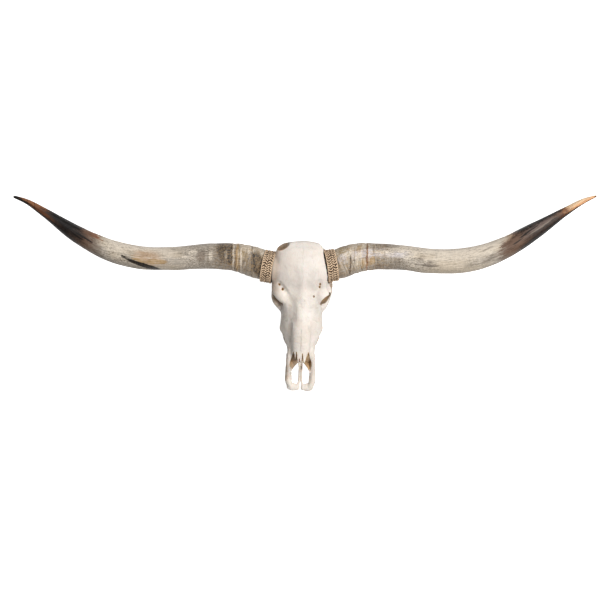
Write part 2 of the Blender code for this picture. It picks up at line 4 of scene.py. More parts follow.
import bpy
import numpy as np
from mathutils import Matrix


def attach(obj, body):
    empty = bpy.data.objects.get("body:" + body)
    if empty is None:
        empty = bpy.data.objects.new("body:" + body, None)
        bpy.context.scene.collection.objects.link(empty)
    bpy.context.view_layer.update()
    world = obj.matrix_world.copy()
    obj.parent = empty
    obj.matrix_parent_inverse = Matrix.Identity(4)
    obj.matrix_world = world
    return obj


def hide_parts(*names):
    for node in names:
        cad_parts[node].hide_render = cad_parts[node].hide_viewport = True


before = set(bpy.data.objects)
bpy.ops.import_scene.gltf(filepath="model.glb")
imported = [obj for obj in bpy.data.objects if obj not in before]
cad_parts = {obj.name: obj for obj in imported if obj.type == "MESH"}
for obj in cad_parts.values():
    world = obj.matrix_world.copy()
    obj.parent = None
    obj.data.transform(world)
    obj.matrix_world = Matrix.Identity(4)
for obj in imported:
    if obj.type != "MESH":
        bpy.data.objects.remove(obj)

import openvdb
from mathutils import Matrix, Vector

# All lengths are metres. The skull lies face up: +Y is towards the poll, +X towards its left horn.
# The skull's own numbers are measured from the root of the nose, which is here.
ROOT_OF_NOSE = np.array((0, -0.033, 0))
SIDES = (("left", 1), ("right", -1))
HEAD_VOXEL = 0.0015
FACE_VOXEL = 0.0009
TOOTH_VOXEL = 0.0007
FAR = 0.05  # what a field says where no shape is near
SUTURE_GAP = -0.0001  # below 0, so that no light shows between the bones
STAIN_EDGE = 0.0028  # how far from a hole its brown reaches

# ------------------------------------------------------------------------------------------------
# Fields: distances from a surface on a grid of points, negative inside
# ------------------------------------------------------------------------------------------------


def smooth_min(a, b, blend):
    """The lesser of two distances, rounded where they meet."""
    share = np.clip(0.5 + 0.5 * (b - a) / blend, 0, 1)
    return b + (a - b) * share - blend * share * (1 - share)


def smooth_step(value, low, high):
    """From 0 at low to 1 at high, level at both ends."""
    share = np.clip((value - low) / (high - low), 0, 1)
    return share * share * (3 - 2 * share)


def curve_through(rows, at):
    """Values of a smooth curve through rows, whose first column is where they are, at other places."""
    rows = np.asarray(rows, float)
    if rows[0, 0] > rows[-1, 0]:
        rows = rows[::-1]
    place, value = rows[:, 0], rows[:, 1:]
    at = np.clip(np.asarray(at, float), place[0], place[-1])
    span = np.diff(place)[:, None]
    slope = np.diff(value, axis=0) / span
    bend = np.vstack([slope[:1], slope[-1:]]) if len(rows) == 2 else np.empty_like(value)
    bend[0], bend[-1] = slope[0], slope[-1]
    bend[1:-1] = (slope[:-1] * span[1:] + slope[1:] * span[:-1]) / (span[1:] + span[:-1])
    index = np.clip(np.searchsorted(place, at) - 1, 0, len(place) - 2)
    step = (place[index + 1] - place[index])[..., None]
    u = (at - place[index])[..., None] / step
    return (
        (2 * u**3 - 3 * u**2 + 1) * value[index]
        + (u**3 - 2 * u**2 + u) * step * bend[index]
        + (3 * u**2 - 2 * u**3) * value[index + 1]
        + (u**3 - u**2) * step * bend[index + 1]
    )


def lengths_along(points):
    """How far along a line each of its points is."""
    return np.r_[0, np.cumsum(np.linalg.norm(np.diff(points, axis=0), axis=1))]


class Ball:
    """An ellipsoid, turned about Z and then tipped about its own X, both in degrees."""

    def __init__(self, centre, radii, turn=0.0, tip=0.0):
        self.centre = np.array(centre, float)
        self.radii = np.array(radii, float)
        c, s = math.cos(math.radians(turn)), math.sin(math.radians(turn))
        turned = np.array(((c, s, 0), (-s, c, 0), (0, 0, 1)))
        c, s = math.cos(math.radians(tip)), math.sin(math.radians(tip))
        self.axes = np.array(((1, 0, 0), (0, c, s), (0, -s, c))) @ turned
        reach = self.radii.max()
        self.low, self.high = self.centre - reach, self.centre + reach

    def distance(self, x, y, z):
        offset = (x - self.centre[0], y - self.centre[1], z - self.centre[2])
        own = [sum(axis[i] * offset[i] for i in range(3)) for axis in self.axes]
        near = np.sqrt(sum((own[i] / self.radii[i]) ** 2 for i in range(3)))
        steep = np.sqrt(sum((own[i] / self.radii[i] ** 2) ** 2 for i in range(3)))
        return near * (near - 1) / np.maximum(steep, 1e-6)


class Tube:
    """A round rod on a smooth line through rows of X, Y, Z and radius.

    thin is a direction and the share of the radius that the rod keeps in that direction.
    """

    def __init__(self, rows, closed=False, steps=5, thin=None):
        rows = np.array(rows, float)
        if closed:
            rows = np.vstack([rows[-2:], rows, rows[:2]])
        if len(rows) > 2:
            way = lengths_along(rows[:, :3])
            first, last = (2, len(rows) - 2) if closed else (0, len(rows) - 1)
            at = np.linspace(way[first], way[last], steps * (last - first) + 1)
            rows = curve_through(np.c_[way, rows], at)
        self.rows = rows
        self.thin = thin
        reach = rows[:, 3].max()
        self.low, self.high = rows[:, :3].min(0) - reach, rows[:, :3].max(0) + reach

    def distance(self, x, y, z):
        nearest = FAR
        for start, end in zip(self.rows[:-1], self.rows[1:]):
            along = end[:3] - start[:3]
            length = max(along @ along, 1e-12)
            dx, dy, dz = x - start[0], y - start[1], z - start[2]
            share = np.clip((dx * along[0] + dy * along[1] + dz * along[2]) / length, 0, 1)
            dx, dy, dz = dx - share * along[0], dy - share * along[1], dz - share * along[2]
            square = dx * dx + dy * dy + dz * dz
            scale = 1.0
            if self.thin:
                way, scale = self.thin
                square = square + (scale**-2 - 1) * (dx * way[0] + dy * way[1] + dz * way[2]) ** 2
            radius = start[3] + share * (end[3] - start[3])
            nearest = np.minimum(nearest, (np.sqrt(square) - radius) * scale)
        return nearest


class Loft:
    """A body through superellipse sections: Y, half width, widest height, top, bottom, squareness."""

    def __init__(self, rows):
        self.rows = np.array(rows, float)
        wide, back, front = self.rows[:, 1].max(), self.rows[:, 0].min(), self.rows[:, 0].max()
        self.low = np.array((-wide, back, self.rows[:, 4].min()))
        self.high = np.array((wide, front, self.rows[:, 3].max()))

    def distance(self, x, y, z):
        shape = curve_through(self.rows, y.ravel())
        half, widest, top, bottom, square = (shape[:, i].reshape(y.shape) for i in range(5))
        height = np.where(z > widest, top - widest, widest - bottom)
        reach = np.abs(x / half) ** square + np.abs((z - widest) / height) ** square
        side = (reach ** (1 / square) - 1) * np.minimum(half, height)
        end = np.maximum(self.low[1] - y, y - self.high[1])
        return -smooth_min(-side, -end, 0.006)


class Prism:
    """An upright body over an outline in X and Y, from one height to another."""

    def __init__(self, outline, bottom, top):
        self.outline = np.array(outline, float)
        self.low = np.r_[self.outline.min(0), bottom]
        self.high = np.r_[self.outline.max(0), top]

    def distance(self, x, y, z):
        side = outline_distance(self.outline, x, y)
        return np.maximum(side, np.maximum(self.low[2] - z, z - self.high[2]))


def outline_distance(outline, x, y):
    """Distance from a closed outline in a plane, negative inside."""
    x, y = np.broadcast_arrays(x, y)
    square = np.full(x.shape, 1e9)
    inside = np.zeros(x.shape, bool)
    for (ax, ay), (bx, by) in zip(outline, np.roll(outline, -1, axis=0)):
        ex, ey = bx - ax, by - ay
        share = np.clip(((x - ax) * ex + (y - ay) * ey) / (ex * ex + ey * ey), 0, 1)
        square = np.minimum(square, (x - ax - share * ex) ** 2 + (y - ay - share * ey) ** 2)
        if ay != by:
            inside ^= ((ay > y) != (by > y)) & (x < ax + (y - ay) * ex / ey)
    return np.where(inside, -1, 1) * np.sqrt(square)


class Field:
    """A grid that shapes are added to and cut from."""

    def __init__(self, low, high, step):
        self.step = step
        counts = [int(math.ceil((high[i] - low[i]) / step)) + 1 for i in range(3)]
        self.axes = [low[i] + step * np.arange(counts[i]) for i in range(3)]
        self.values = np.full(counts, FAR, np.float32)
        self.stain_and_shade = np.zeros(counts, np.float32)

    def grids(self, part=(slice(None),) * 3):
        shapes = ((-1, 1, 1), (1, -1, 1), (1, 1, -1))
        return [self.axes[i][part[i]].astype(np.float32).reshape(shapes[i]) for i in range(3)]

    def around(self, shape, margin):
        """The part of the grid that a shape can change."""
        part = []
        for i in range(3):
            first = np.searchsorted(self.axes[i], shape.low[i] - margin)
            last = np.searchsorted(self.axes[i], shape.high[i] + margin)
            part.append(slice(first, last))
        return tuple(part)

    def add(self, shape, blend=0.006):
        part = self.around(shape, blend + 3 * self.step)
        if self.values[part].size:
            near = shape.distance(*self.grids(part))
            self.values[part] = smooth_min(self.values[part], near, blend)

    def cut(self, shape, blend=0.003, stain_and_shade=0.0):
        """Takes a shape away and browns its walls: at 1 they are brown, and beyond 1 painted shade makes them
        darker still.
        """
        part = self.around(shape, blend + 3 * self.step)
        if self.values[part].size:
            near = shape.distance(*self.grids(part))
            self.values[part] = -smooth_min(-self.values[part], near, blend)
            walls = stain_and_shade * (1 - smooth_step(near, 0.0005, STAIN_EDGE))
            self.stain_and_shade[part] = np.maximum(self.stain_and_shade[part], walls)

    def dye_and_shade(self, shape, stain_and_shade, fade=0.008):
        """Makes the surface brown within a shape, less so towards its edge. It paints stains, and also
        painted shade.
        """
        part = self.around(shape, 0.0)
        inside = stain_and_shade * smooth_step(-shape.distance(*self.grids(part)), 0.0, fade)
        self.stain_and_shade[part] = np.maximum(self.stain_and_shade[part], inside)

    def mirrored(self):
        """The field of both sides, from that of X 0 and more."""
        both = object.__new__(Field)
        both.step = self.step
        both.axes = [np.r_[-self.axes[0][:0:-1], self.axes[0]], *self.axes[1:]]
        both.values = np.concatenate([self.values[:0:-1], self.values])
        both.stain_and_shade = np.concatenate([self.stain_and_shade[:0:-1], self.stain_and_shade])
        return both

    def surface(self, values=None):
        """Points and quads of the surface where the values cross zero."""
        values = self.values if values is None else values
        band = 3 * self.step
        grid = openvdb.FloatGrid(band)
        grid.copyFromArray(np.ascontiguousarray(np.clip(values, -band, band), np.float32))
        grid.transform = openvdb.createLinearTransform(voxelSize=self.step)
        grid.gridClass = openvdb.GridClass.LEVEL_SET
        points, _, quads = grid.convertToPolygons(isovalue=0.0, adaptivity=0.0)
        return points + np.array([axis[0] for axis in self.axes]), quads[:, ::-1]


def values_at(field, values, points):
    """A grid's values at any places, from the eight grid points round each."""
    place = [(points[:, i] - field.axes[i][0]) / field.step for i in range(3)]
    cell = [np.clip(p.astype(int), 0, values.shape[i] - 2) for i, p in enumerate(place)]
    part = [np.clip(p - c, 0, 1) for p, c in zip(place, cell)]
    total = 0
    for corner in itertools.product((0, 1), repeat=3):
        weight = np.prod([part[i] if corner[i] else 1 - part[i] for i in range(3)], axis=0)
        total = total + weight * values[tuple(cell[i] + corner[i] for i in range(3))]
    return total


def blurred(values, reach):
    """A grid averaged over a block that reaches some cells each way, twice."""
    for _ in range(2):
        for axis in range(3):
            wide = [(0, 0)] * 3
            wide[axis] = (reach + 1, reach)
            total = np.cumsum(np.pad(values, wide, mode="edge"), axis=axis, dtype=np.float32)
            count = values.shape[axis]
            high = np.take(total, range(2 * reach + 1, 2 * reach + 1 + count), axis=axis)
            low = np.take(total, range(count), axis=axis)
            values = (high - low) / (2 * reach + 1)
    return values


def random_blobs(points, size, seed):
    """Smooth random values from -1 to 1 that change over some distance."""
    table = np.random.default_rng(seed).uniform(-1, 1, (32, 32, 32))
    cell = np.floor(points / size).astype(int)
    part = points / size - cell
    part = part * part * (3 - 2 * part)
    total = np.zeros(len(points))
    for corner in itertools.product((0, 1), repeat=3):
        weight = np.prod([part[:, i] if corner[i] else 1 - part[:, i] for i in range(3)], axis=0)
        total += weight * table[tuple((cell[:, i] + corner[i]) % 32 for i in range(3))]
    return total


# ------------------------------------------------------------------------------------------------
# Meshes
# ------------------------------------------------------------------------------------------------


def largest_body(points, quads):
    """The points and quads of the biggest connected body."""
    label = np.arange(len(points))
    while True:
        low = label[quads].min(axis=1)
        new = label.copy()
        for corner in range(4):
            np.minimum.at(new, quads[:, corner], low)
        new = new[new]
        if (new == label).all():
            break
        label = new
    body = label[quads[:, 0]]
    quads = quads[body == np.bincount(body).argmax()]
    used = np.unique(quads)
    order = np.full(len(points), -1)
    order[used] = np.arange(len(used))
    return points[used], order[quads]


def into_scene(name, data):
    """A new object of a mesh, lamp or camera."""
    piece = bpy.data.objects.new(name, data)
    bpy.context.scene.collection.objects.link(piece)
    return piece


def mesh_piece(name, points, faces, material):
    """A smooth piece that rides on the skull. faces is an array of quads, or of rows of any length."""
    mesh = bpy.data.meshes.new(name)
    if isinstance(faces, np.ndarray):
        mesh.vertices.add(len(points))
        mesh.vertices.foreach_set("co", np.asarray(points, np.float32).ravel())
        mesh.loops.add(faces.size)
        mesh.loops.foreach_set("vertex_index", np.ascontiguousarray(faces, np.int32).ravel())
        mesh.polygons.add(len(faces))
        mesh.polygons.foreach_set("loop_start", np.arange(0, faces.size, 4, dtype=np.int32))
        mesh.update(calc_edges=True)
    else:
        mesh.from_pydata(points.tolist(), [], faces)
    mesh.shade_smooth()
    mesh.materials.append(material)
    piece = into_scene(name, mesh)
    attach(piece, "root")
    return piece


def points_of(piece, what="co"):
    values = np.empty(3 * len(piece.data.vertices), np.float32)
    piece.data.vertices.foreach_get(what, values)
    return values.reshape(-1, 3)


def move_points(piece, points):
    piece.data.vertices.foreach_set("co", np.asarray(points, np.float32).ravel())
    piece.data.update()


def write_value(piece, name, values):
    """Gives each point of a piece a value, or a vector, that its material reads."""
    kind, field = ("FLOAT", "value") if values.ndim == 1 else ("FLOAT_VECTOR", "vector")
    layer = piece.data.attributes.new(name, kind, "POINT")
    layer.data.foreach_set(field, np.ascontiguousarray(values, np.float32).ravel())


# ------------------------------------------------------------------------------------------------
# The skull's shape. Numbers are for its left side, the right side mirrors it
# ------------------------------------------------------------------------------------------------

# Y, half width, widest height, top, bottom and squareness of the head's cross-sections.
HEAD_SECTIONS = (
    (0.201, 0.022, 0.160, 0.170, 0.150, 2.0),
    (0.193, 0.062, 0.160, 0.187, 0.134, 2.1),
    (0.180, 0.080, 0.162, 0.199, 0.110, 2.4),
    (0.155, 0.090, 0.164, 0.207, 0.095, 2.3),
    (0.120, 0.095, 0.163, 0.209, 0.085, 2.2),
    (0.088, 0.098, 0.160, 0.205, 0.080, 2.1),
    (0.058, 0.099, 0.157, 0.198, 0.070, 2.1),
    (0.030, 0.094, 0.153, 0.190, 0.055, 2.1),
    (0.005, 0.080, 0.146, 0.180, 0.045, 2.1),
    (-0.018, 0.068, 0.130, 0.171, 0.038, 1.9),
    (-0.045, 0.065, 0.106, 0.159, 0.028, 1.6),
    (-0.090, 0.067, 0.083, 0.142, 0.026, 1.5),
    (-0.120, 0.059, 0.076, 0.131, 0.026, 1.5),
    (-0.150, 0.050, 0.074, 0.118, 0.028, 1.6),
    (-0.190, 0.046, 0.068, 0.096, 0.036, 1.9),
    (-0.212, 0.042, 0.060, 0.076, 0.046, 2.0),
)
# Of each eye socket: side, middle of its mouth, the way it faces, how far out and up it widens, stain.
ORBITS = (
    (1, (0.0755, 0.011, 0.130), (0.68, -0.62, 0.38), 0.022, 0.0105, 0.85),
    (-1, (-0.0765, 0.006, 0.128), (-0.65, -0.70, 0.29), 0.026, -0.0035, 0.50),
)
ACROSS = (1, 0, 0)
UP = (0, 0, 1)


def orbit_ring(centre, facing, radius, thickness, points=12):
    """Rows of a closed rod round the orbit's mouth."""
    up = np.array(UP) - facing * facing[2]
    up /= np.linalg.norm(up)
    across = np.cross(facing, up)
    rows = []
    for step in range(points):
        angle = 2 * math.pi * step / points
        out = up * math.cos(angle) + across * math.sin(angle)
        rows.append((*(centre + out * radius), thickness))
    return rows


def add_brain_case(f):
    f.add(Ball((0, 0.112, 0.118), (0.067, 0.072, 0.062)), 0.012)
    f.add(Ball((0, 0.150, 0.114), (0.087, 0.031, 0.064)), 0.014)
    f.add(Ball((0, 0.158, 0.078), (0.052, 0.026, 0.038)), 0.012)
    f.add(Ball((0.068, 0.146, 0.112), (0.025, 0.022, 0.044)), 0.010)
    poll = ((0, 0.189, 0.182, 0.011), (0.040, 0.186, 0.181, 0.011), (0.072, 0.172, 0.176, 0.012))
    f.add(Tube(poll), 0.010)
    crest = ((0, 0.184, 0.160, 0.010), (0, 0.184, 0.128, 0.008), (0, 0.176, 0.098, 0.007))
    f.add(Tube(crest, thin=(ACROSS, 0.6)), 0.012)
    line = (
        (0, 0.182, 0.130, 0.008),
        (0.030, 0.181, 0.126, 0.007),
        (0.060, 0.173, 0.114, 0.007),
        (0.082, 0.157, 0.092, 0.008),
    )
    f.add(Tube(line), 0.012)


def add_temple(f):
    """The roof's edge above the temple."""
    edge = (
        (0.085, 0.104, 0.164, 0.010),
        (0.086, 0.082, 0.163, 0.009),
        (0.088, 0.056, 0.161, 0.009),
        (0.090, 0.034, 0.156, 0.010),
    )
    f.add(Tube(edge), 0.010)
    f.add(Ball((0.075, 0.024, 0.156), (0.0215, 0.037, 0.0225), turn=-27), 0.008)


def add_nose_bridge(f):
    """The nasal bones' vault stands above the sides of the face, and a ridge runs up the forehead."""
    ridge = ((0, 0.080, 0.190, 0.0100), (0, 0.050, 0.1860, 0.0110), (0, 0.010, 0.1715, 0.0130))
    f.add(Tube(ridge), 0.012)
    vault = (
        (0, 0.012, 0.1615, 0.0280),
        (0, -0.030, 0.1495, 0.0300),
        (0, -0.090, 0.1320, 0.0310),
        (0, -0.150, 0.1120, 0.0305),
        (0, -0.205, 0.0930, 0.0285),
    )
    f.add(Tube(vault, thin=(UP, 0.62)), 0.008)


def add_cheek(f):
    arch = (
        (0.077, -0.014, 0.095, 0.014),
        (0.090, 0.008, 0.091, 0.013),
        (0.0975, 0.036, 0.090, 0.010),
        (0.0935, 0.075, 0.092, 0.011),
        (0.083, 0.105, 0.097, 0.013),
        (0.076, 0.135, 0.104, 0.014),
    )
    f.add(Tube(arch, thin=(ACROSS, 0.62)), 0.009)
    body = (
        (0.070, -0.010, 0.098, 0.016),
        (0.054, -0.045, 0.086, 0.015),
        (0.055, -0.080, 0.074, 0.013),
        (0.058, -0.102, 0.068, 0.010),
    )
    f.add(Tube(body), 0.012)
    crest = (
        (0.073, -0.022, 0.086, 0.006),
        (0.0640, -0.046, 0.078, 0.0055),
        (0.0630, -0.074, 0.071, 0.006),
        (0.0645, -0.096, 0.068, 0.007),
    )
    f.add(Tube(crest), 0.008)
    f.add(Ball((0.0635, -0.096, 0.069), (0.0090, 0.012, 0.010)), 0.007)
    f.add(Ball((0.079, 0.086, 0.086), (0.021, 0.018, 0.011)), 0.010)


def add_upper_jaw(f):
    f.add(Ball((0.046, -0.070, 0.055), (0.022, 0.085, 0.036)), 0.012)
    sockets = (
        (0.050, -0.006, 0.034, 0.011),
        (0.0505, -0.040, 0.030, 0.0130),
        (0.0495, -0.080, 0.029, 0.0125),
        (0.045, -0.115, 0.029, 0.0105),
        (0.040, -0.144, 0.031, 0.0085),
    )
    f.add(Tube(sockets), 0.010)


def add_base(f):
    keel = (
        (0, 0.156, 0.046, 0.015),
        (0, 0.128, 0.044, 0.017),
        (0, 0.095, 0.046, 0.017),
        (0, 0.060, 0.054, 0.016),
        (0, 0.020, 0.068, 0.018),
    )
    f.add(Tube(keel), 0.010)
    f.add(Ball((0.013, 0.128, 0.036), (0.008, 0.010, 0.007)), 0.008)
    f.add(Ball((0.041, 0.108, 0.048), (0.0125, 0.019, 0.019)), 0.006)
    f.add(Tube(((0.037, 0.094, 0.038, 0.004), (0.034, 0.083, 0.029, 0.0028))), 0.005)
    jugular = (
        (0.066, 0.152, 0.085, 0.016),
        (0.062, 0.149, 0.050, 0.013),
        (0.058, 0.143, 0.022, 0.010),
        (0.056, 0.139, -0.0035, 0.0075),
    )
    f.add(Tube(jugular, thin=(ACROSS, 0.75)), 0.009)
    f.add(Ball((0.028, 0.172, 0.058), (0.0165, 0.0155, 0.0225), turn=-25, tip=20), 0.008)
    wing = (
        (0.034, -0.006, 0.044, 0.008),
        (0.028, 0.020, 0.040, 0.005),
        (0.026, 0.036, 0.036, 0.0045),
        (0.028, 0.050, 0.048, 0.006),
        (0.030, 0.072, 0.060, 0.009),
    )
    f.add(Tube(wing, thin=(ACROSS, 0.6)), 0.008)
    f.add(Tube(((0.024, 0.030, 0.036, 0.0035), (0.022, 0.040, 0.027, 0.0025))), 0.004)


def add_front_bones(f):
    """The premaxilla: an outer bar that climbs to the nasal bone, a floor, and an inner bar."""
    bar = (
        (0.0350, -0.2945, 0.0235, 0.0098),
        (0.0415, -0.279, 0.0255, 0.0112),
        (0.0418, -0.255, 0.0325, 0.0115),
        (0.0412, -0.226, 0.0540, 0.0108),
        (0.0408, -0.198, 0.0745, 0.0088),
        (0.0385, -0.172, 0.0860, 0.0060),
    )
    f.add(Tube(bar, thin=(ACROSS, 0.88)), 0.007)
    floor = ((0.040, -0.262, 0.027, 0.009), (0.040, -0.225, 0.036, 0.010), (0.039, -0.190, 0.044, 0.011))
    f.add(Tube(floor), 0.008)
    inner = (
        (0.0094, -0.3045, 0.0215, 0.0062),
        (0.0076, -0.2930, 0.0225, 0.0050),
        (0.0044, -0.2810, 0.0235, 0.0044),
        (0.0031, -0.2660, 0.0250, 0.0044),
        (0.0030, -0.2380, 0.0300, 0.0044),
        (0.0042, -0.2200, 0.0345, 0.0052),
        (0.0044, -0.1650, 0.0480, 0.0060),
    )
    f.add(Tube(inner), 0.004)
    f.add(Ball((0.0253, -0.3002, 0.0215), (0.0215, 0.0138, 0.0078)), 0.005)
    f.add(Ball((0.0230, -0.2230, 0.0400), (0.0200, 0.0340, 0.0080), tip=-12), 0.004)
    f.dye_and_shade(Ball((0.0205, -0.2140, 0.0430), (0.0150, 0.0430, 0.0200)), 1.0, 0.003)
    f.add(Ball((0.0405, -0.275, 0.0230), (0.0112, 0.0200, 0.0078)), 0.006)


def cut_valleys(f):
    """The sides of the face are hollow beside the nasal bones."""
    valley = (
        (0.0430, 0.010, 0.2010, 0.022),
        (0.0410, -0.015, 0.1850, 0.022),
        (0.0410, -0.040, 0.1720, 0.022),
        (0.0430, -0.070, 0.1640, 0.022),
    )
    f.cut(Tube(valley), 0.010)


def cut_temple(f):
    fossa = (
        (0.091, 0.050, 0.127, 0.020),
        (0.092, 0.076, 0.125, 0.024),
        (0.093, 0.108, 0.124, 0.022),
        (0.096, 0.134, 0.118, 0.013),
    )
    f.cut(Tube(fossa), 0.005, stain_and_shade=0.45)
    below = ((0.060, 0.012, 0.058, 0.017), (0.060, 0.040, 0.062, 0.020), (0.060, 0.066, 0.066, 0.017))
    f.cut(Tube(below), 0.006, stain_and_shade=0.35)
    f.cut(Tube(((0.069, 0.040, 0.070, 0.013), (0.078, 0.062, 0.108, 0.014))), 0.005, stain_and_shade=0.5)


def add_bar_behind_orbit(f):
    bar = ((0.083, 0.046, 0.146, 0.016), (0.089, 0.050, 0.122, 0.016), (0.0945, 0.052, 0.098, 0.012))
    f.add(Tube(bar, thin=(ACROSS, 0.6)), 0.008)


def make_orbits(f):
    """Each rim stands proud all round, the socket is deep, and a bar closes it behind."""
    for side, centre, facing, ahead, above, stain_and_shade in ORBITS:
        centre, facing = np.array(centre), np.array(facing) / np.linalg.norm(facing)
        f.add(Tube(orbit_ring(centre, facing, 0.0290, 0.0058), closed=True, steps=3), 0.007)
        turn = math.degrees(math.atan2(facing[1], facing[0]))
        f.cut(Ball(centre - facing * 0.014, (0.034, 0.0285, 0.0275), turn=turn), 0.003, stain_and_shade=stain_and_shade)
        mouth = centre + facing * ahead + np.array((0, 0, above))
        f.cut(Ball(mouth, (0.035, 0.0285, 0.0285), turn=turn), 0.003, stain_and_shade=stain_and_shade)
        f.cut(Ball((side * 0.066, -0.012, 0.139), (0.0040, 0.0030, 0.0040)), 0.002, stain_and_shade=1.0)


def cut_holes(f):
    """Openings of vessels, nerves, ear and spine."""
    below_eye = (
        (0.0640, -0.140, 0.066, 0.0055), (0.050, -0.124, 0.065, 0.0048), (0.040, -0.110, 0.064, 0.0045),
    )
    f.cut(Tube(below_eye), 0.002, stain_and_shade=1.0)
    f.cut(Tube(((0.094, 0.120, 0.086, 0.005), (0.070, 0.118, 0.080, 0.004))), 0.002, stain_and_shade=1.0)
    f.cut(Tube(((0, 0.200, 0.068, 0.0175), (0, 0.150, 0.072, 0.0165))), 0.003, stain_and_shade=0.9)
    f.cut(Ball((0.030, 0.146, 0.044), (0.0035, 0.004, 0.006)), 0.002, stain_and_shade=1.0)
    f.cut(Ball((0.034, 0.072, 0.052), (0.0055, 0.006, 0.009)), 0.002, stain_and_shade=1.0)
    f.cut(Ball((0.020, -0.012, 0.040), (0.003, 0.004, 0.008)), 0.002, stain_and_shade=1.0)


def cut_palate(f):
    roof = (
        (0, -0.004, 0.026, 0.018),
        (0, -0.040, 0.014, 0.025),
        (0, -0.100, 0.011, 0.026),
        (0, -0.165, 0.007, 0.028),
        (0, -0.215, 0.000, 0.028),
    )
    f.cut(Tube(roof), 0.006, stain_and_shade=0.25)
    throat = (
        (0, 0.052, 0.026, 0.018),
        (0, 0.024, 0.044, 0.016),
        (0, -0.004, 0.056, 0.013),
        (0, -0.030, 0.066, 0.010),
    )
    f.cut(Tube(throat), 0.003, stain_and_shade=0.8)


def cut_nose(f):
    lower = (
        (0.0185, -0.236, 0.070, 0.0175),
        (0.0185, -0.200, 0.066, 0.0180),
        (0.0175, -0.160, 0.072, 0.0170),
        (0.0150, -0.120, 0.084, 0.0120),
    )
    f.cut(Tube(lower), 0.003, stain_and_shade=0.9)
    upper = (
        (0.016, -0.240, 0.094, 0.0130),
        (0.016, -0.205, 0.0890, 0.0128),
        (0.014, -0.150, 0.1000, 0.0110),
        (0.011, -0.120, 0.108, 0.0070),
    )
    f.cut(Tube(upper), 0.003, stain_and_shade=1.0)
    beside = (
        (0.0256, -0.1785), (0.0165, -0.2100), (0.0120, -0.2180), (0.0115, -0.2600),
        (0.0322, -0.2600), (0.0326, -0.2300), (0.0318, -0.2040),
    )
    f.cut(Prism(beside, 0.052, 0.150), 0.0012, stain_and_shade=0.9)
    slot = (
        (0.0076, -0.2160), (0.0100, -0.2165), (0.0245, -0.2340), (0.0298, -0.2450), (0.0302, -0.2560),
        (0.0292, -0.2680), (0.0255, -0.2800), (0.0195, -0.2885), (0.0130, -0.2895), (0.0096, -0.2830),
        (0.0078, -0.2680), (0.0074, -0.2450),
    )
    f.cut(Prism(slot, -0.020, 0.060), 0.002, stain_and_shade=0.35)
    f.dye_and_shade(Ball((0.0040, -0.2420, 0.0300), (0.0080, 0.0420, 0.0200)), 0.32, 0.003)
    scroll = (
        (0.0240, -0.2240, 0.058, 0.0070),
        (0.0235, -0.1980, 0.072, 0.0085),
        (0.0210, -0.1680, 0.084, 0.0095),
        (0.0165, -0.1300, 0.090, 0.0085),
    )
    f.add(Tube(scroll), 0.003)
    f.dye_and_shade(Tube([(*spot, radius + 0.002) for *spot, radius in scroll]), 1.0, 0.003)


def slit_nose(f):
    """The slits between the nasal bones' prongs, which lean to the right."""
    slits = (
        (-0.0150, -0.1790, -0.0138, 0.0033),
        (0.0058, -0.1840, 0.0064, 0.0030),
        (-0.0041, -0.2020, -0.0040, 0.0014),
    )
    # The slits' walls are browned far beyond 1: painted shade that stands for the dark cavity seen through
    # them.
    for root, back, tip, half_width in slits:
        outline = ((root, back), (tip - half_width, -0.2250), (tip + half_width, -0.2250))
        f.cut(Prism(outline, 0.072, 0.150), 0.0008, stain_and_shade=1.6)
    front = ((-0.0140, -0.2145), (0.0140, -0.2145), (0.0140, -0.2700), (-0.0140, -0.2700))
    f.cut(Prism(front, 0.052, 0.150), 0.0008, stain_and_shade=0.5)


def shape_skull(f):
    """Shapes one half of the skull."""
    f.add(Loft(HEAD_SECTIONS))
    add_brain_case(f)
    add_temple(f)
    add_nose_bridge(f)
    add_cheek(f)
    add_upper_jaw(f)
    add_base(f)
    add_front_bones(f)
    cut_valleys(f)
    cut_temple(f)
    add_bar_behind_orbit(f)
    cut_holes(f)
    cut_palate(f)
    cut_nose(f)
    # Nothing reaches below what the skull lies on.
    f.values = np.maximum(f.values, -f.grids()[2])


# ------------------------------------------------------------------------------------------------
# Bones: the skull's field is divided along the sutures
# ------------------------------------------------------------------------------------------------

# Y and Z of the nasal bones' root, the way that they slope, and their half width along it.
NASAL_ROOT = (0.006, 0.183)
NASAL_SLOPE = math.radians(19.3)
NASAL_THICKNESS = 0.008
NASAL_WIDTHS = (
    (0.000, 0.000), (0.018, 0.014), (0.045, 0.022), (0.120, 0.0255),
    (0.185, 0.0285), (0.198, 0.0288), (0.250, 0.030),
)
# Y and Z of the sutures behind and before the maxilla, seen from the side.
MAXILLA_BACK_EDGE = (
    (-0.060, 0.300), (-0.060, 0.150), (-0.074, 0.108), (-0.042, 0.080), (-0.010, 0.058), (0.004, -0.050),
)
PREMAXILLA_EDGE = (
    (-0.180, 0.300), (-0.184, 0.108), (-0.212, 0.056), (-0.242, 0.022), (-0.246, -0.050),
)


def in_front_of(edge, y, z):
    """Distance from the space in front of an edge seen from the side, negative in it."""
    outline = np.array((*edge, (-0.500, edge[-1][1]), (-0.500, edge[0][1])))
    return outline_distance(outline, y[0], z[0])[None].astype(np.float32)


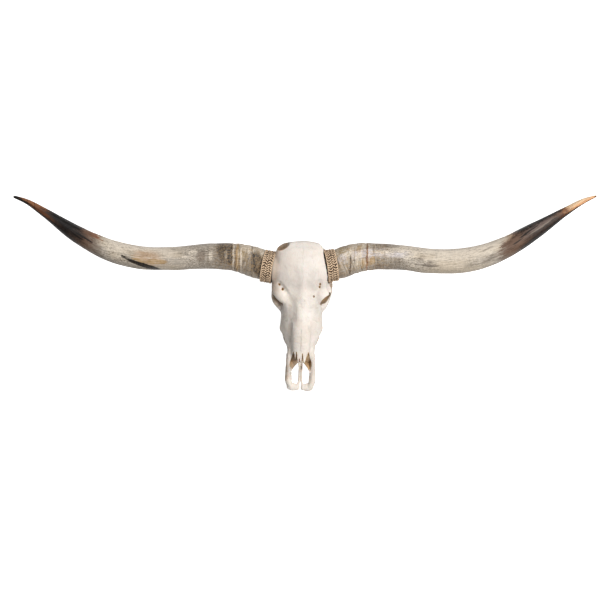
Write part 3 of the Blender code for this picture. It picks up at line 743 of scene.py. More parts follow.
def bone_spaces(f):
    """Distances from the nasal, maxillary and premaxillary spaces."""
    x, y, z = f.grids()
    back, up = y - NASAL_ROOT[0], z - NASAL_ROOT[1]
    along = -back * math.cos(NASAL_SLOPE) - up * math.sin(NASAL_SLOPE)
    height = up * math.cos(NASAL_SLOPE) - back * math.sin(NASAL_SLOPE)
    rows = np.array(NASAL_WIDTHS)
    width = np.interp(along, rows[:, 0], rows[:, 1], left=-0.01).astype(np.float32)
    jagged = 0.0006 * np.sin(along * 900) + 0.0004 * np.sin(along * 2300 + 1)
    nasal = np.maximum(np.abs(x) - width - jagged, -NASAL_THICKNESS - height)
    face = in_front_of(MAXILLA_BACK_EDGE, y, z) + 0.0008 * np.sin(x * 800) * np.cos(z * 500 + y * 400)
    front = in_front_of(PREMAXILLA_EDGE, y, z) + 0.0005 * np.sin(z * 900)
    return x, nasal, face, front


def all_of(first, *others):
    """The distance from what several bodies have in common."""
    for other in others:
        first = np.maximum(first, other)
    return first


def head_bones(f):
    """Fields of the cranium and the two maxillae."""
    x, nasal, face, front = bone_spaces(f)
    gap = SUTURE_GAP / 2
    bones = {"cranium": all_of(f.values, gap - nasal, gap - face)}
    for word, side in SIDES:
        bones["maxilla_" + word] = all_of(f.values, gap - nasal, face + gap, gap - front, gap - side * x)
    return bones


def face_bones(f):
    """Fields of the nasal bones and the premaxillae."""
    x, nasal, _, front = bone_spaces(f)
    gap = SUTURE_GAP / 2
    bones = {}
    for word, side in SIDES:
        bones["nasal_" + word] = all_of(f.values, nasal + gap, gap - side * x)
        bones["premaxilla_" + word] = all_of(f.values, gap - nasal, front + gap, gap - side * x)
    return bones


# Where the collars' middle lines begin and end, from the bone outwards.
COLLARS = {
    "left": ((0.0780, 0.1160, 0.1436), (0.1145, 0.1228, 0.1404)),
    "right": ((-0.0970, 0.1085, 0.1436), (-0.1355, 0.1148, 0.1404)),
}
STUB_RADIUS = 0.0470  # of the bone that stands in the collar
COLLAR_SEAT = 0.0575  # the radius of the flat place that the collar presses on


def shape_horn_seats(f):
    """The collars press on flat seats, and the horn cores' stubs stand in them."""
    x, y, z = f.grids()
    for start, end in COLLARS.values():
        start, end = np.array(start), np.array(end)
        out = (end - start) / np.linalg.norm(end - start)
        swell = [(*(start - out * step), radius) for step, radius in ((0.045, 0.030), (0.006, 0.045))]
        f.add(Tube(swell, steps=1), 0.012)
        dx, dy, dz = x - start[0], y - start[1], z - start[2]
        along = dx * out[0] + dy * out[1] + dz * out[2]
        radial = np.sqrt(dx**2 + dy**2 + dz**2 - along**2)
        seat = np.maximum(radial - COLLAR_SEAT, -along)
        f.values = -smooth_min(-f.values, seat, 0.002)
        across = np.abs(dy * out[0] - dx * out[1])
        slot = np.maximum(np.maximum(across - COLLAR_SEAT, -dz), -along)
        f.values = -smooth_min(-f.values, slot, 0.002)
        stub = [(*(start + out * step), STUB_RADIUS) for step in (-0.060, -0.034)]
        f.add(Tube(stub, steps=1), 0.002)


def cut_brow(f):
    """Holes and grooves above the eyes, which differ from side to side."""
    holes = (
        ((-0.0775, 0.0515, 0.188), (0.0038, 0.0020, 0.025), -35),
        ((-0.0662, 0.0355, 0.186), (0.0031, 0.0033, 0.025), 0),
        ((0.0605, 0.0548, 0.190), (0.0018, 0.0026, 0.025), -15),
        ((0.0590, 0.0452, 0.188), (0.0024, 0.0029, 0.025), -20),
        ((0.0400, 0.0127, 0.180), (0.0009, 0.0024, 0.020), 10),
    )
    # The holes are browned beyond 1: brown stain, with painted shade that darkens their insides.
    for centre, radii, turn in holes:
        f.cut(Ball(centre, radii, turn=turn), 0.0020, stain_and_shade=1.2)
    left = (
        (0.0620, 0.060, 0.1965, 0.0100), (0.0590, 0.046, 0.1925, 0.0100), (0.0510, 0.028, 0.1890, 0.0100),
        (0.0460, 0.012, 0.1840, 0.0100), (0.0420, -0.010, 0.1755, 0.0100),
    )
    right = (
        (-0.079, 0.054, 0.1870, 0.0080), (-0.067, 0.039, 0.1880, 0.0085), (-0.056, 0.024, 0.1865, 0.0095),
        (-0.048, 0.010, 0.1825, 0.0095), (-0.042, -0.010, 0.1750, 0.0100),
    )
    for groove in (left, right):
        f.cut(Tube(groove), 0.006)


def finish_roof(f):
    """Dents, the poll's hollow and cut-off corner, the roof's broken edge and the right orbit's rim."""
    for side in (1, -1):
        f.cut(Ball((side * 0.030, 0.085, 0.2340), (0.028, 0.040, 0.030)), 0.010)
        f.cut(Ball((side * 0.034, 0.018, 0.2070), (0.018, 0.030, 0.020)), 0.010)
    # The poll's hollow on the right is browned beyond 1: partly stain, partly painted shade on the slope
    # behind the roof's edge.
    f.cut(Ball((-0.0690, 0.1850, 0.200), (0.0270, 0.0145, 0.030), turn=32), 0.0020, stain_and_shade=1.35)
    edge = (
        (0.1055, 0.034, 0.166, 0.0175),
        (0.0975, 0.054, 0.166, 0.0180),
        (0.0990, 0.078, 0.166, 0.0180),
    )
    f.cut(Tube(edge), 0.004)
    rim = (
        (-0.0965, 0.030, 0.100, 0.0060), (-0.0975, 0.006, 0.098, 0.0068),
        (-0.0915, -0.0085, 0.098, 0.0070), (-0.0780, -0.020, 0.098, 0.0080),
    )
    f.add(Tube(rim), 0.006)
    corner = (
        (0.0346, 0.1990), (0.0516, 0.1941), (0.0623, 0.1843), (0.0713, 0.1700), (0.0756, 0.1560),
        (0.1200, 0.1560), (0.1200, 0.2150), (0.0346, 0.2150),
    )
    f.cut(Prism(corner, 0.120, 0.230), 0.005)
    # Painted shade, partly stain: the right orbit's lower rim, turned from the key lamp, is browned. Painted
    # shadow: the left temple under the collar is browned. Painted shade: a grey patch stands for a shallow
    # dent below the left orbit.
    f.dye_and_shade(Ball((-0.0950, 0.0040, 0.106), (0.024, 0.038, 0.036)), 0.48)
    f.dye_and_shade(Ball((0.0980, 0.0540, 0.110), (0.020, 0.034, 0.044)), 1.0)
    f.dye_and_shade(Ball((0.0480, -0.0330, 0.130), (0.024, 0.030, 0.040)), 0.30, 0.020)


def paint_shade_on_right_side(f):
    """Painted shade: the right side of the face, turned from the key lamp, and the roof's right margin are
    painted browner.
    """
    shaded = (
        (-0.0380, -0.020, 0.150, 0.016), (-0.0350, -0.068, 0.130, 0.014), (-0.0430, -0.115, 0.115, 0.018),
        (-0.0450, -0.165, 0.095, 0.018), (-0.0420, -0.200, 0.074, 0.016), (-0.0420, -0.262, 0.036, 0.016),
    )
    f.dye_and_shade(Tube(shaded), 0.38, 0.010)
    f.dye_and_shade(Tube(((-0.0480, -0.190, 0.074, 0.018), (-0.0490, -0.268, 0.030, 0.018))), 0.52, 0.010)
    f.dye_and_shade(Ball((-0.0930, 0.0900, 0.180), (0.014, 0.070, 0.030)), 0.20, 0.012)


# ------------------------------------------------------------------------------------------------
# What the bone's material needs to know at each point
# ------------------------------------------------------------------------------------------------

# How far the roof leans to its right, and the poll from there back to its left.
ROOF_SHIFT, POLL_SHIFT = -0.0040, 0.0065


def bone_points(points):
    """Moves points from the skull's symmetric grid to where they are: the roof is a little crooked."""
    moved = points.copy()
    moved[:, 0] += ROOF_SHIFT * smooth_step(points[:, 1], 0.05, 0.14)
    moved[:, 0] += POLL_SHIFT * smooth_step(points[:, 1], 0.15, 0.19)
    return moved


def seam_distance(points):
    """Signed distance from the nearest suture that is only drawn."""
    x, y, z = np.abs(points[:, 0]), points[:, 1], points[:, 2]
    best = np.full(len(points), 0.02)

    def nearer(value, valid):
        use = valid & (np.abs(value) < np.abs(best))
        best[use] = value[use]

    roof = z > 0.150
    nearer(points[:, 0] + 0.0015 * np.sin(y * 140), roof & (y > 0.008) & (y < 0.196))
    lacrimal = np.array(((0.024, -0.030), (0.045, -0.020), (0.060, -0.012), (0.078, -0.004)))
    inside = (x > 0.024) & (x < 0.085) & (z > 0.128) & (y < 0.03)
    nearer(y - np.interp(x, lacrimal[:, 0], lacrimal[:, 1]), inside)
    cheek = np.array(((-0.072, 0.108), (-0.040, 0.112), (-0.012, 0.104)))
    inside = (x > 0.045) & (y > -0.074) & (y < -0.010)
    nearer(z - np.interp(y, cheek[:, 0], cheek[:, 1]), inside)
    arch = (x > 0.080) & (z < 0.110) & (z > 0.07)
    nearer(y - 0.060 - 0.5 * (z - 0.090), arch & (y > 0.02) & (y < 0.10))
    side = (y > 0.045) & (x > 0.050) & (z > 0.10) & (z < 0.155)
    nearer(z - 0.118 - 0.25 * (y - 0.09), side)
    back = (y > 0.150) & (z < 0.150)
    nearer(z - 0.126 + 0.4 * x, back & (x < 0.080))
    under = (z < 0.060) & (x < 0.022)
    nearer(y - 0.093, under & (y > 0.07) & (y < 0.12))
    nearer(y + 0.030 - 0.3 * x, (z < 0.060) & (x < 0.034) & (y < 0) & (y > -0.06))
    return np.clip(best, -0.02, 0.02)


# How far round a point is looked for bone, to find hollows and deep places.
HOLLOW_REACH, DEEP_REACH = 0.0075, 0.021
# How high the surface's bumps are, how far apart, and the seed of each size.
BONE_BUMPS = ((0.0007, 0.022, 3), (0.0003, 0.007, 4))
BONE_GRAIN = (0.00010, 0.0016, 5)
GRAIN_ALONG = (1, 0.25, 1)


def dress_bone(piece, field, head, hollow, deep):
    """Adds the surface's unevenness and the values that the bone's material reads."""
    points, normals = points_of(piece), points_of(piece, "normal")
    local = points - ROOT_OF_NOSE
    write_value(piece, "stain_and_shade", values_at(field, field.stain_and_shade, local))
    write_value(piece, "hollow", values_at(head, hollow, local))
    write_value(piece, "deep", values_at(head, deep, local))
    write_value(piece, "seam", seam_distance(local))
    bulge = sum(height * random_blobs(local, size, seed) for height, size, seed in BONE_BUMPS)
    height, size, seed = BONE_GRAIN
    bulge += height * random_blobs(local * GRAIN_ALONG, size, seed)
    move_points(piece, points + normals * bulge[:, None])


def make_bones(material):
    head = Field((0, -0.3180, -0.0060), (0.1400, 0.2070, 0.2160), HEAD_VOXEL)
    shape_skull(head)
    head = head.mirrored()
    make_orbits(head)
    shape_horn_seats(head)
    cut_brow(head)
    finish_roof(head)
    paint_shade_on_right_side(head)
    face = Field((0, -0.3180, 0.0000), (0.0590, 0.0100, 0.1900), FACE_VOXEL)
    shape_skull(face)
    face = face.mirrored()
    slit_nose(face)
    paint_shade_on_right_side(face)
    solid = (head.values < 0).astype(np.float32)
    hollow = blurred(solid, round(HOLLOW_REACH / HEAD_VOXEL))
    deep = blurred(solid, round(DEEP_REACH / HEAD_VOXEL))
    for field, bones in ((head, head_bones(head)), (face, face_bones(face))):
        for node, values in bones.items():
            points, quads = largest_body(*field.surface(values))
            points = bone_points(points) + ROOT_OF_NOSE
            piece = mesh_piece("bone_" + node, points, quads, material)
            dress_bone(piece, field, head, hollow, deep)
            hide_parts(node)


# ------------------------------------------------------------------------------------------------
# Cheek teeth
# ------------------------------------------------------------------------------------------------

TOOTH_ROW_BACK = -0.014
# Length along the jaw, width, how far out, and lobes, from the last molar forwards.
TEETH = (
    (0.030, 0.021, 0.050, 2), (0.027, 0.023, 0.050, 2), (0.022, 0.022, 0.049, 2),
    (0.018, 0.019, 0.046, 1), (0.018, 0.017, 0.043, 1), (0.014, 0.013, 0.040, 1),
)
TOOTH_TOP = 0.045
PIT_DEPTH = 0.006
ENAMEL = 0.0012


def tooth_plan(x, y, centre_x, centre_y, length, width, lobes):
    """Distances in plan from a tooth's outline and from the pits in its grinding face."""
    outline, pits = np.full(np.broadcast(x, y).shape, FAR), np.full(np.broadcast(x, y).shape, FAR)
    lobe = length / lobes / 2
    for number in range(lobes):
        middle = centre_y + (number + 0.5 - lobes / 2) * 2 * lobe
        u, v = (y - middle) / (lobe * 1.06), (x - centre_x) / (width / 2)
        body = ((np.abs(u) ** 2.6 + np.abs(v) ** 2.6) ** (1 / 2.6) - 1) * min(lobe, width / 2)
        outline = smooth_min(outline, body, 0.0012)
        arch = np.sqrt((u / 0.50) ** 2 + ((v + 0.10) / 0.42) ** 2) - 1
        pit = np.abs(arch) * min(lobe, width / 2) * 0.45 - 0.0008
        pits = np.minimum(pits, np.where(v > -0.15, pit, FAR))
    for rib in range(lobes + 1):
        edge = centre_y - length / 2 + length * rib / lobes
        edge += 0.0022 * (1 if rib == 0 else -1 if rib == lobes else 0)
        reach = np.hypot(x - centre_x - width / 2 + 0.0012, y - edge) - 0.0017
        outline = smooth_min(outline, reach, 0.0010)
    return outline, pits


def make_teeth(material):
    for word, side in SIDES:
        f = Field((0.0300, -0.1500, -0.0030), (0.0660, -0.0100, TOOTH_TOP + 0.001), TOOTH_VOXEL)
        x, y, z = f.grids()
        enamel = np.zeros(f.values.shape[:2])
        back = TOOTH_ROW_BACK
        for length, width, out, lobes in TEETH:
            middle = back - length / 2
            back -= length
            outline, pits = tooth_plan(x[..., 0], y[..., 0], out, middle, length - 0.0006, width, lobes)
            rim = np.minimum(-outline, pits + 0.0004)
            worn = 0.0008 * smooth_step(rim, ENAMEL * 0.5, ENAMEL * 1.6)
            wave = 0.0007 * (1 + np.cos((y[..., 0] - middle) / length * lobes * 2 * math.pi))
            face = (0.0002 + worn + wave)[..., None]
            taper = outline[..., None] + 0.018 * z + 0.0003 * np.sin(z * 700)
            body = all_of(taper, face - z, z - TOOTH_TOP)
            hole = np.maximum(pits[..., None], z - PIT_DEPTH)
            f.values = np.minimum(f.values, np.maximum(body, -hole)).astype(np.float32)
            enamel = np.where(outline < 0.002, rim, enamel)
        points, quads = f.surface()
        rim = values_at(f, np.repeat(enamel[..., None], 2, axis=2), points * (1, 1, 0))
        points[:, 0] *= side
        points[:, 1] += ROOT_OF_NOSE[1]
        if side < 0:
            quads = quads[:, ::-1]
        piece = mesh_piece("teeth_" + word, points, quads, material)
        write_value(piece, "rim", rim)


# ------------------------------------------------------------------------------------------------
# Horns
# ------------------------------------------------------------------------------------------------

# X, Y, Z and radius of the horns' middle lines, from the root to the tip.
HORN_STATIONS = {
    "left": (
        (0.090, 0.118, 0.1425, 0.0475), (0.1120, 0.1225, 0.1406, 0.0485), (0.1200, 0.1245, 0.1400, 0.0503),
        (0.161, 0.1405, 0.1390, 0.0512), (0.195, 0.149, 0.1410, 0.0491), (0.229, 0.152, 0.1435, 0.0463),
        (0.263, 0.153, 0.1455, 0.0443), (0.331, 0.1515, 0.149, 0.0428), (0.440, 0.141, 0.156, 0.0422),
        (0.567, 0.149, 0.169, 0.0415), (0.674, 0.186, 0.184, 0.0372), (0.779, 0.248, 0.202, 0.0287),
        (0.883, 0.317, 0.222, 0.0146), (0.945, 0.354, 0.235, 0.0088), (0.984, 0.370, 0.242, 0.0034),
    ),
    "right": (
        (-0.112, 0.111, 0.1423, 0.0475), (-0.1335, 0.1150, 0.1406, 0.0488), (-0.1415, 0.1180, 0.1400, 0.0505),
        (-0.1795, 0.1305, 0.1390, 0.0515), (-0.214, 0.139, 0.1410, 0.0484), (-0.248, 0.1425, 0.1440, 0.0459),
        (-0.282, 0.143, 0.1465, 0.0447), (-0.309, 0.143, 0.149, 0.0437), (-0.444, 0.132, 0.157, 0.0396),
        (-0.552, 0.133, 0.167, 0.0390), (-0.660, 0.158, 0.182, 0.0364), (-0.767, 0.209, 0.200, 0.0282),
        (-0.875, 0.279, 0.220, 0.0150), (-0.935, 0.314, 0.232, 0.0086), (-0.9775, 0.3290, 0.240, 0.0044),
    ),
}
HORN_RING_STEP = 0.0022
HORN_SIDES = 120
TIP_ROUNDING = 0.004
FULL_RELIEF_RADIUS = 0.030  # thinner than this, a horn is smoother
# How far out, how wide and how high each ring or dip round a horn is.
HORN_RINGS = {
    "left": (
        (0.149, 0.006, 0.0006), (0.162, 0.003, -0.0009), (0.175, 0.006, 0.0008), (0.190, 0.004, -0.0005),
        (0.203, 0.007, 0.0009), (0.218, 0.003, -0.0012), (0.228, 0.006, 0.0008), (0.250, 0.010, -0.0004),
        (0.285, 0.012, 0.0005), (0.330, 0.012, -0.0005),
    ),
    "right": (
        (0.150, 0.004, 0.0005), (0.160, 0.004, -0.0006), (0.172, 0.005, 0.0007), (0.184, 0.003, -0.0008),
        (0.196, 0.006, 0.0009), (0.209, 0.003, -0.0009), (0.221, 0.006, 0.0008), (0.236, 0.004, -0.0008),
        (0.262, 0.012, 0.0004), (0.300, 0.012, -0.0005),
    ),
}


def horn_relief(straight, out, turn, side):
    """How far the horn's surface stands out from its plain shape."""
    wavy = out + 0.004 * np.sin(turn + 0.6) + 0.002 * np.sin(3 * turn)
    wavy += 0.0015 * random_blobs(straight, 0.02, 11)
    relief = np.zeros_like(out)
    for place, width, height in HORN_RINGS[side]:
        relief += height * np.exp(-(((wavy - place) / width) ** 2))
    stretched = straight * (0.06, 1, 1)
    relief += 0.00030 * random_blobs(stretched, 0.006, 12) + 0.00012 * random_blobs(stretched, 0.0024, 13)
    relief += 0.0007 * random_blobs(straight, 0.040, 14)
    return relief


def horn_line(side):
    """Where each ring of a horn is along it, its middle and its radius. The rings crowd to the tip."""
    stations = np.array(HORN_STATIONS[side])
    way = lengths_along(stations[:, :3])
    share = np.linspace(0, 1, int(way[-1] / HORN_RING_STEP))
    at = way[-1] * (share * 0.985 + 0.015 * np.sin(share * math.pi / 2))
    line = curve_through(np.c_[way, stations], at)
    round_off = np.sqrt(np.clip((way[-1] - at) / TIP_ROUNDING, 0, 1))
    return at, line[:, :3], line[:, 3] * np.maximum(round_off, 0.02)


def horn_faces(rings):
    """Quads between a horn's rings, and fans round the two points after them, its root's and its tip's."""
    index = np.arange(rings * HORN_SIDES).reshape(rings, HORN_SIDES)
    beside = np.roll(index, -1, axis=1)
    faces = np.stack([index[:-1], index[1:], beside[1:], beside[:-1]], axis=-1).reshape(-1, 4).tolist()
    faces += [(index.size, a, b) for a, b in zip(index[0], beside[0])]
    faces += [(index.size + 1, b, a) for a, b in zip(index[-1], beside[-1])]
    return faces


def make_horn(side, material):
    at, centre, radius = horn_line(side)
    ahead = np.gradient(centre, axis=0)
    ahead /= np.linalg.norm(ahead, axis=1)[:, None]
    up = np.array(UP) - ahead * ahead[:, 2:]
    up /= np.linalg.norm(up, axis=1)[:, None]
    hand = 1 if side == "left" else -1
    across = hand * np.cross(up, ahead)
    turn = 2 * math.pi * np.arange(HORN_SIDES) / HORN_SIDES
    turns, aheads = np.meshgrid(turn, at)
    radii = np.repeat(radius[:, None], HORN_SIDES, axis=1)
    outs = np.repeat(np.abs(centre[:, :1]), HORN_SIDES, axis=1)
    straight = np.stack([aheads, radii * np.sin(turns), radii * np.cos(turns)], axis=-1).reshape(-1, 3)
    relief = horn_relief(straight, outs.ravel(), turns.ravel(), side).reshape(radii.shape)
    radii = radii + relief * np.clip(radii / FULL_RELIEF_RADIUS, 0, 1)
    directions = up[:, None] * np.cos(turns)[..., None] + across[:, None] * np.sin(turns)[..., None]
    points = (centre[:, None] + directions * radii[..., None]).reshape(-1, 3)
    points = np.vstack([points, centre[0], centre[-1]]) + ROOT_OF_NOSE
    faces = horn_faces(len(at))
    if hand < 0:
        faces = [face[::-1] for face in faces]
    piece = mesh_piece("horn_sheath_" + side, points, faces, material)
    write_value(piece, "straight", np.vstack([straight, (0, 0, 0), (at[-1], 0, 0)]))
    write_value(piece, "out", np.abs(points[:, 0]))
    write_value(piece, "upward", np.r_[np.sin(turns).ravel(), 0, 0])
    write_value(piece, "front", np.r_[np.cos(turns).ravel(), 1, 1])
    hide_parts("horn_" + side)


# ------------------------------------------------------------------------------------------------
# Ropes: a pair of two-strand ropes, laid opposite ways, is wound nearly twice round, between two cords
# ------------------------------------------------------------------------------------------------

ROPE_STEP = 0.0011
ROPE_TURNS = 1.88
ROW_PITCH = 0.0088  # from one row of rope to the next
ROW_RADIUS = 0.0504  # of the rows' middle lines, round the horn
STRANDS = 2
ROPE_LAY = 0.0165  # how far along the rope a strand goes once round it
STRAND_OFFSET = 0.0024  # from the rope's middle line to the strand's
STRAND_RADIUS = 0.0030
STRAND_LAY = 0.005
EDGE_RADIUS = 0.0534  # of the cords' middle lines, round the horn
EDGE_STRAND = 0.00115
EDGE_LAY = 0.0060
FIBRES = 700
FIBRE_RADIUS = 0.00009
ROPE_SEEDS = {"left": 5, "right": 6}


def sweep(path, normal, radius, sides, lobes, lay, first, closed=False):
    """Points and quads of a strand of twisted plies along a path, and its own straight coordinates."""
    ahead = np.roll(path, -1, axis=0) - np.roll(path, 1, axis=0) if closed else np.gradient(path, axis=0)
    ahead /= np.linalg.norm(ahead, axis=1)[:, None]
    normal = normal - ahead * (normal * ahead).sum(axis=1)[:, None]
    normal /= np.linalg.norm(normal, axis=1)[:, None]
    across = np.cross(ahead, normal)
    way = lengths_along(path)
    turn = 2 * math.pi * np.arange(sides) / sides
    twist = turn[None] + 2 * math.pi * way[:, None] / lay
    reach = radius * (0.84 + 0.16 * np.sqrt(np.abs(np.cos(lobes / 2 * twist))))
    out = normal[:, None] * np.cos(turn)[None, :, None] + across[:, None] * np.sin(turn)[None, :, None]
    points = (path[:, None] + out * reach[..., None]).reshape(-1, 3)
    straight = (np.repeat(way[:, None], sides, axis=1), reach * np.cos(twist), reach * np.sin(twist))
    own = np.stack(straight, axis=-1)
    crown = np.broadcast_to(np.cos(turn), reach.shape).ravel()
    index = first + np.arange(len(path) * sides).reshape(-1, sides)
    rings = np.vstack([index, index[:1]]) if closed else index
    beside = np.roll(rings, -1, axis=1)
    faces = np.stack([rings[:-1], beside[:-1], beside[1:], rings[1:]], axis=-1).reshape(-1, 4).tolist()
    if not closed:
        faces += [index[0][::-1].tolist(), index[-1].tolist()]
    return points, faces, own.reshape(-1, 3), crown


class Collar:
    """The round space of one rope: places in it by distance along its axis, radius and angle."""

    def __init__(self, side):
        start, end = (np.array(place) for place in COLLARS[side])
        self.middle = (start + end) / 2 + ROOT_OF_NOSE
        self.half = np.linalg.norm(end - start) / 2
        self.axis = (end - start) / np.linalg.norm(end - start)
        self.up = np.array(UP) - self.axis * self.axis[2]
        self.up /= np.linalg.norm(self.up)
        self.across = np.cross(self.axis, self.up)

    def outward(self, angle):
        return np.cos(angle)[:, None] * self.up + np.sin(angle)[:, None] * self.across

    def place(self, along, radius, angle):
        along, radius = np.broadcast_to(along, angle.shape), np.broadcast_to(radius, angle.shape)
        return self.middle + along[:, None] * self.axis + radius[:, None] * self.outward(angle)


def strand_path(collar, rope, strand):
    """The path of one of a rope's strands, and the way out of the rope at each of its points.

    A rope starts below the horn, moves over by two rows where its first turn ends, and has tucked ends.
    """
    length = 2 * math.pi * ROW_RADIUS * ROPE_TURNS
    turned = np.linspace(0, ROPE_TURNS, int(length * 1.25 / ROPE_STEP))
    angle = math.pi + 2 * math.pi * turned
    row = rope + 2 * smooth_step(turned, ROPE_TURNS - 1, 1)
    middle = (row - 1.5) * ROW_PITCH
    middle = middle + 0.0004 * np.sin(5 * angle + rope) + 0.0003 * np.sin(11 * angle + 2 * row)
    hand = 1 if rope == 0 else -1
    lay = turned * length / ROPE_TURNS / ROPE_LAY + 0.08 * np.sin(7 * angle + row) + strand / STRANDS
    phase = hand * 2 * math.pi * lay
    radius = ROW_RADIUS - 0.004 * (1 - smooth_step(np.minimum(turned, ROPE_TURNS - turned), 0, 0.02))
    out = np.cos(phase)[:, None] * collar.outward(angle) + np.sin(phase)[:, None] * collar.axis
    return collar.place(middle, radius, angle) + STRAND_OFFSET * out, out


def edge_path(collar, end, strand):
    """One of the two strands of the cord along an edge, a closed ring."""
    count = int(2 * math.pi * EDGE_RADIUS * 1.3 / ROPE_STEP)
    angle = 2 * math.pi * np.arange(count) / count
    winds = round(2 * math.pi * EDGE_RADIUS / EDGE_LAY)
    phase = winds * angle + math.pi * strand
    along = end * (collar.half - 2 * EDGE_STRAND) + EDGE_STRAND * np.sin(phase)
    return collar.place(along, EDGE_RADIUS + EDGE_STRAND * np.cos(phase), angle), collar.outward(angle)


def fibre_faces(base, tip, bend, radius, first):
    """A loose fibre: a thin three-sided spike from base to tip."""
    middle = (base + tip) / 2 + bend
    ahead = tip - base
    side = np.cross(ahead, (0.31, 0.53, 0.79))
    side /= np.linalg.norm(side)
    other = np.cross(ahead / np.linalg.norm(ahead), side)
    ring = [side * math.cos(a) + other * math.sin(a) for a in (0, 2.094, 4.189)]
    points = [base + r * radius for r in ring] + [middle + r * radius * 0.8 for r in ring] + [tip]
    faces = []
    for corner in range(3):
        after = (corner + 1) % 3
        faces.append((first + corner, first + after, first + 3 + after, first + 3 + corner))
        faces.append((first + 3 + corner, first + 3 + after, first + 6))
    faces.append((first + 2, first + 1, first))
    return points, faces


class Strands:
    """The meshes of a rope's strands and fibres, and the values of their points, joined as they come."""

    def __init__(self):
        self.points, self.faces, self.straight, self.crown, self.tint = [], [], [], [], []
        self.count = 0

    def add(self, points, faces, straight, crown, tint):
        self.points.append(points)
        self.faces.extend(faces)
        self.straight.append(straight)
        self.crown.append(crown)
        self.tint.append(np.full(len(points), tint))
        self.count += len(points)


def add_strands(strands, collar, rng):
    """The two ropes' strands, then those of the two cords."""
    for rope, strand in itertools.product(range(2), range(STRANDS)):
        path, out = strand_path(collar, rope, strand)
        swept = sweep(path, out, STRAND_RADIUS, 10, 3, STRAND_LAY, strands.count)
        points, faces, straight, crown = swept
        strands.add(points, faces, straight + (STRANDS * rope + strand, 0, 0), crown, rng.uniform(0, 0.5))
    for end, strand in itertools.product((-1, 1), range(2)):
        path, out = edge_path(collar, end, strand)
        swept = sweep(path, out, EDGE_STRAND, 10, 2, EDGE_LAY / 2, strands.count, closed=True)
        points, faces, straight, crown = swept
        strands.add(points, faces, straight + (12 + strand, 0, 0), np.maximum(crown, 0.5), -0.6)


def add_fibres(strands, collar, rng):
    """Loose fibres that stand up a little from the strands."""
    cover = np.vstack(strands.points)
    for _ in range(FIBRES):
        base = cover[rng.integers(len(cover))]
        outward = base - collar.middle
        outward = outward - collar.axis * (outward @ collar.axis)
        outward /= np.linalg.norm(outward)
        way = rng.normal(size=3)
        way = way - outward * (way @ outward)
        way /= np.linalg.norm(way)
        length = rng.uniform(0.003, 0.008)
        tip = base + length * (0.85 * way + rng.uniform(0.05, 0.45) * outward)
        bend = outward * length * 0.12
        points, faces = fibre_faces(base, tip, bend, FIBRE_RADIUS, strands.count)
        points = np.array(points)
        strands.add(points, faces, points - base, np.ones(len(points)), 0.0)


def make_rope(side, material):
    collar, strands = Collar(side), Strands()
    rng = np.random.default_rng(ROPE_SEEDS[side])
    add_strands(strands, collar, rng)
    add_fibres(strands, collar, rng)
    points = np.vstack(strands.points)
    away = points - collar.middle
    away = away - np.outer(away @ collar.axis, collar.axis)
    piece = mesh_piece("rope_wound_" + side, points, strands.faces, material)
    write_value(piece, "straight", np.vstack(strands.straight))
    write_value(piece, "rise", np.linalg.norm(away, axis=1))
    write_value(piece, "crown", np.concatenate(strands.crown))
    write_value(piece, "tint", np.concatenate(strands.tint))
    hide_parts("rope_" + side)


# ------------------------------------------------------------------------------------------------
# Materials
# ------------------------------------------------------------------------------------------------


def paint(red, green, blue):
    """A colour from its usual 0 to 255 values."""
    values = (red / 255, green / 255, blue / 255)
    return (*(c / 12.92 if c <= 0.04045 else ((c + 0.055) / 1.055) ** 2.4 for c in values), 1.0)


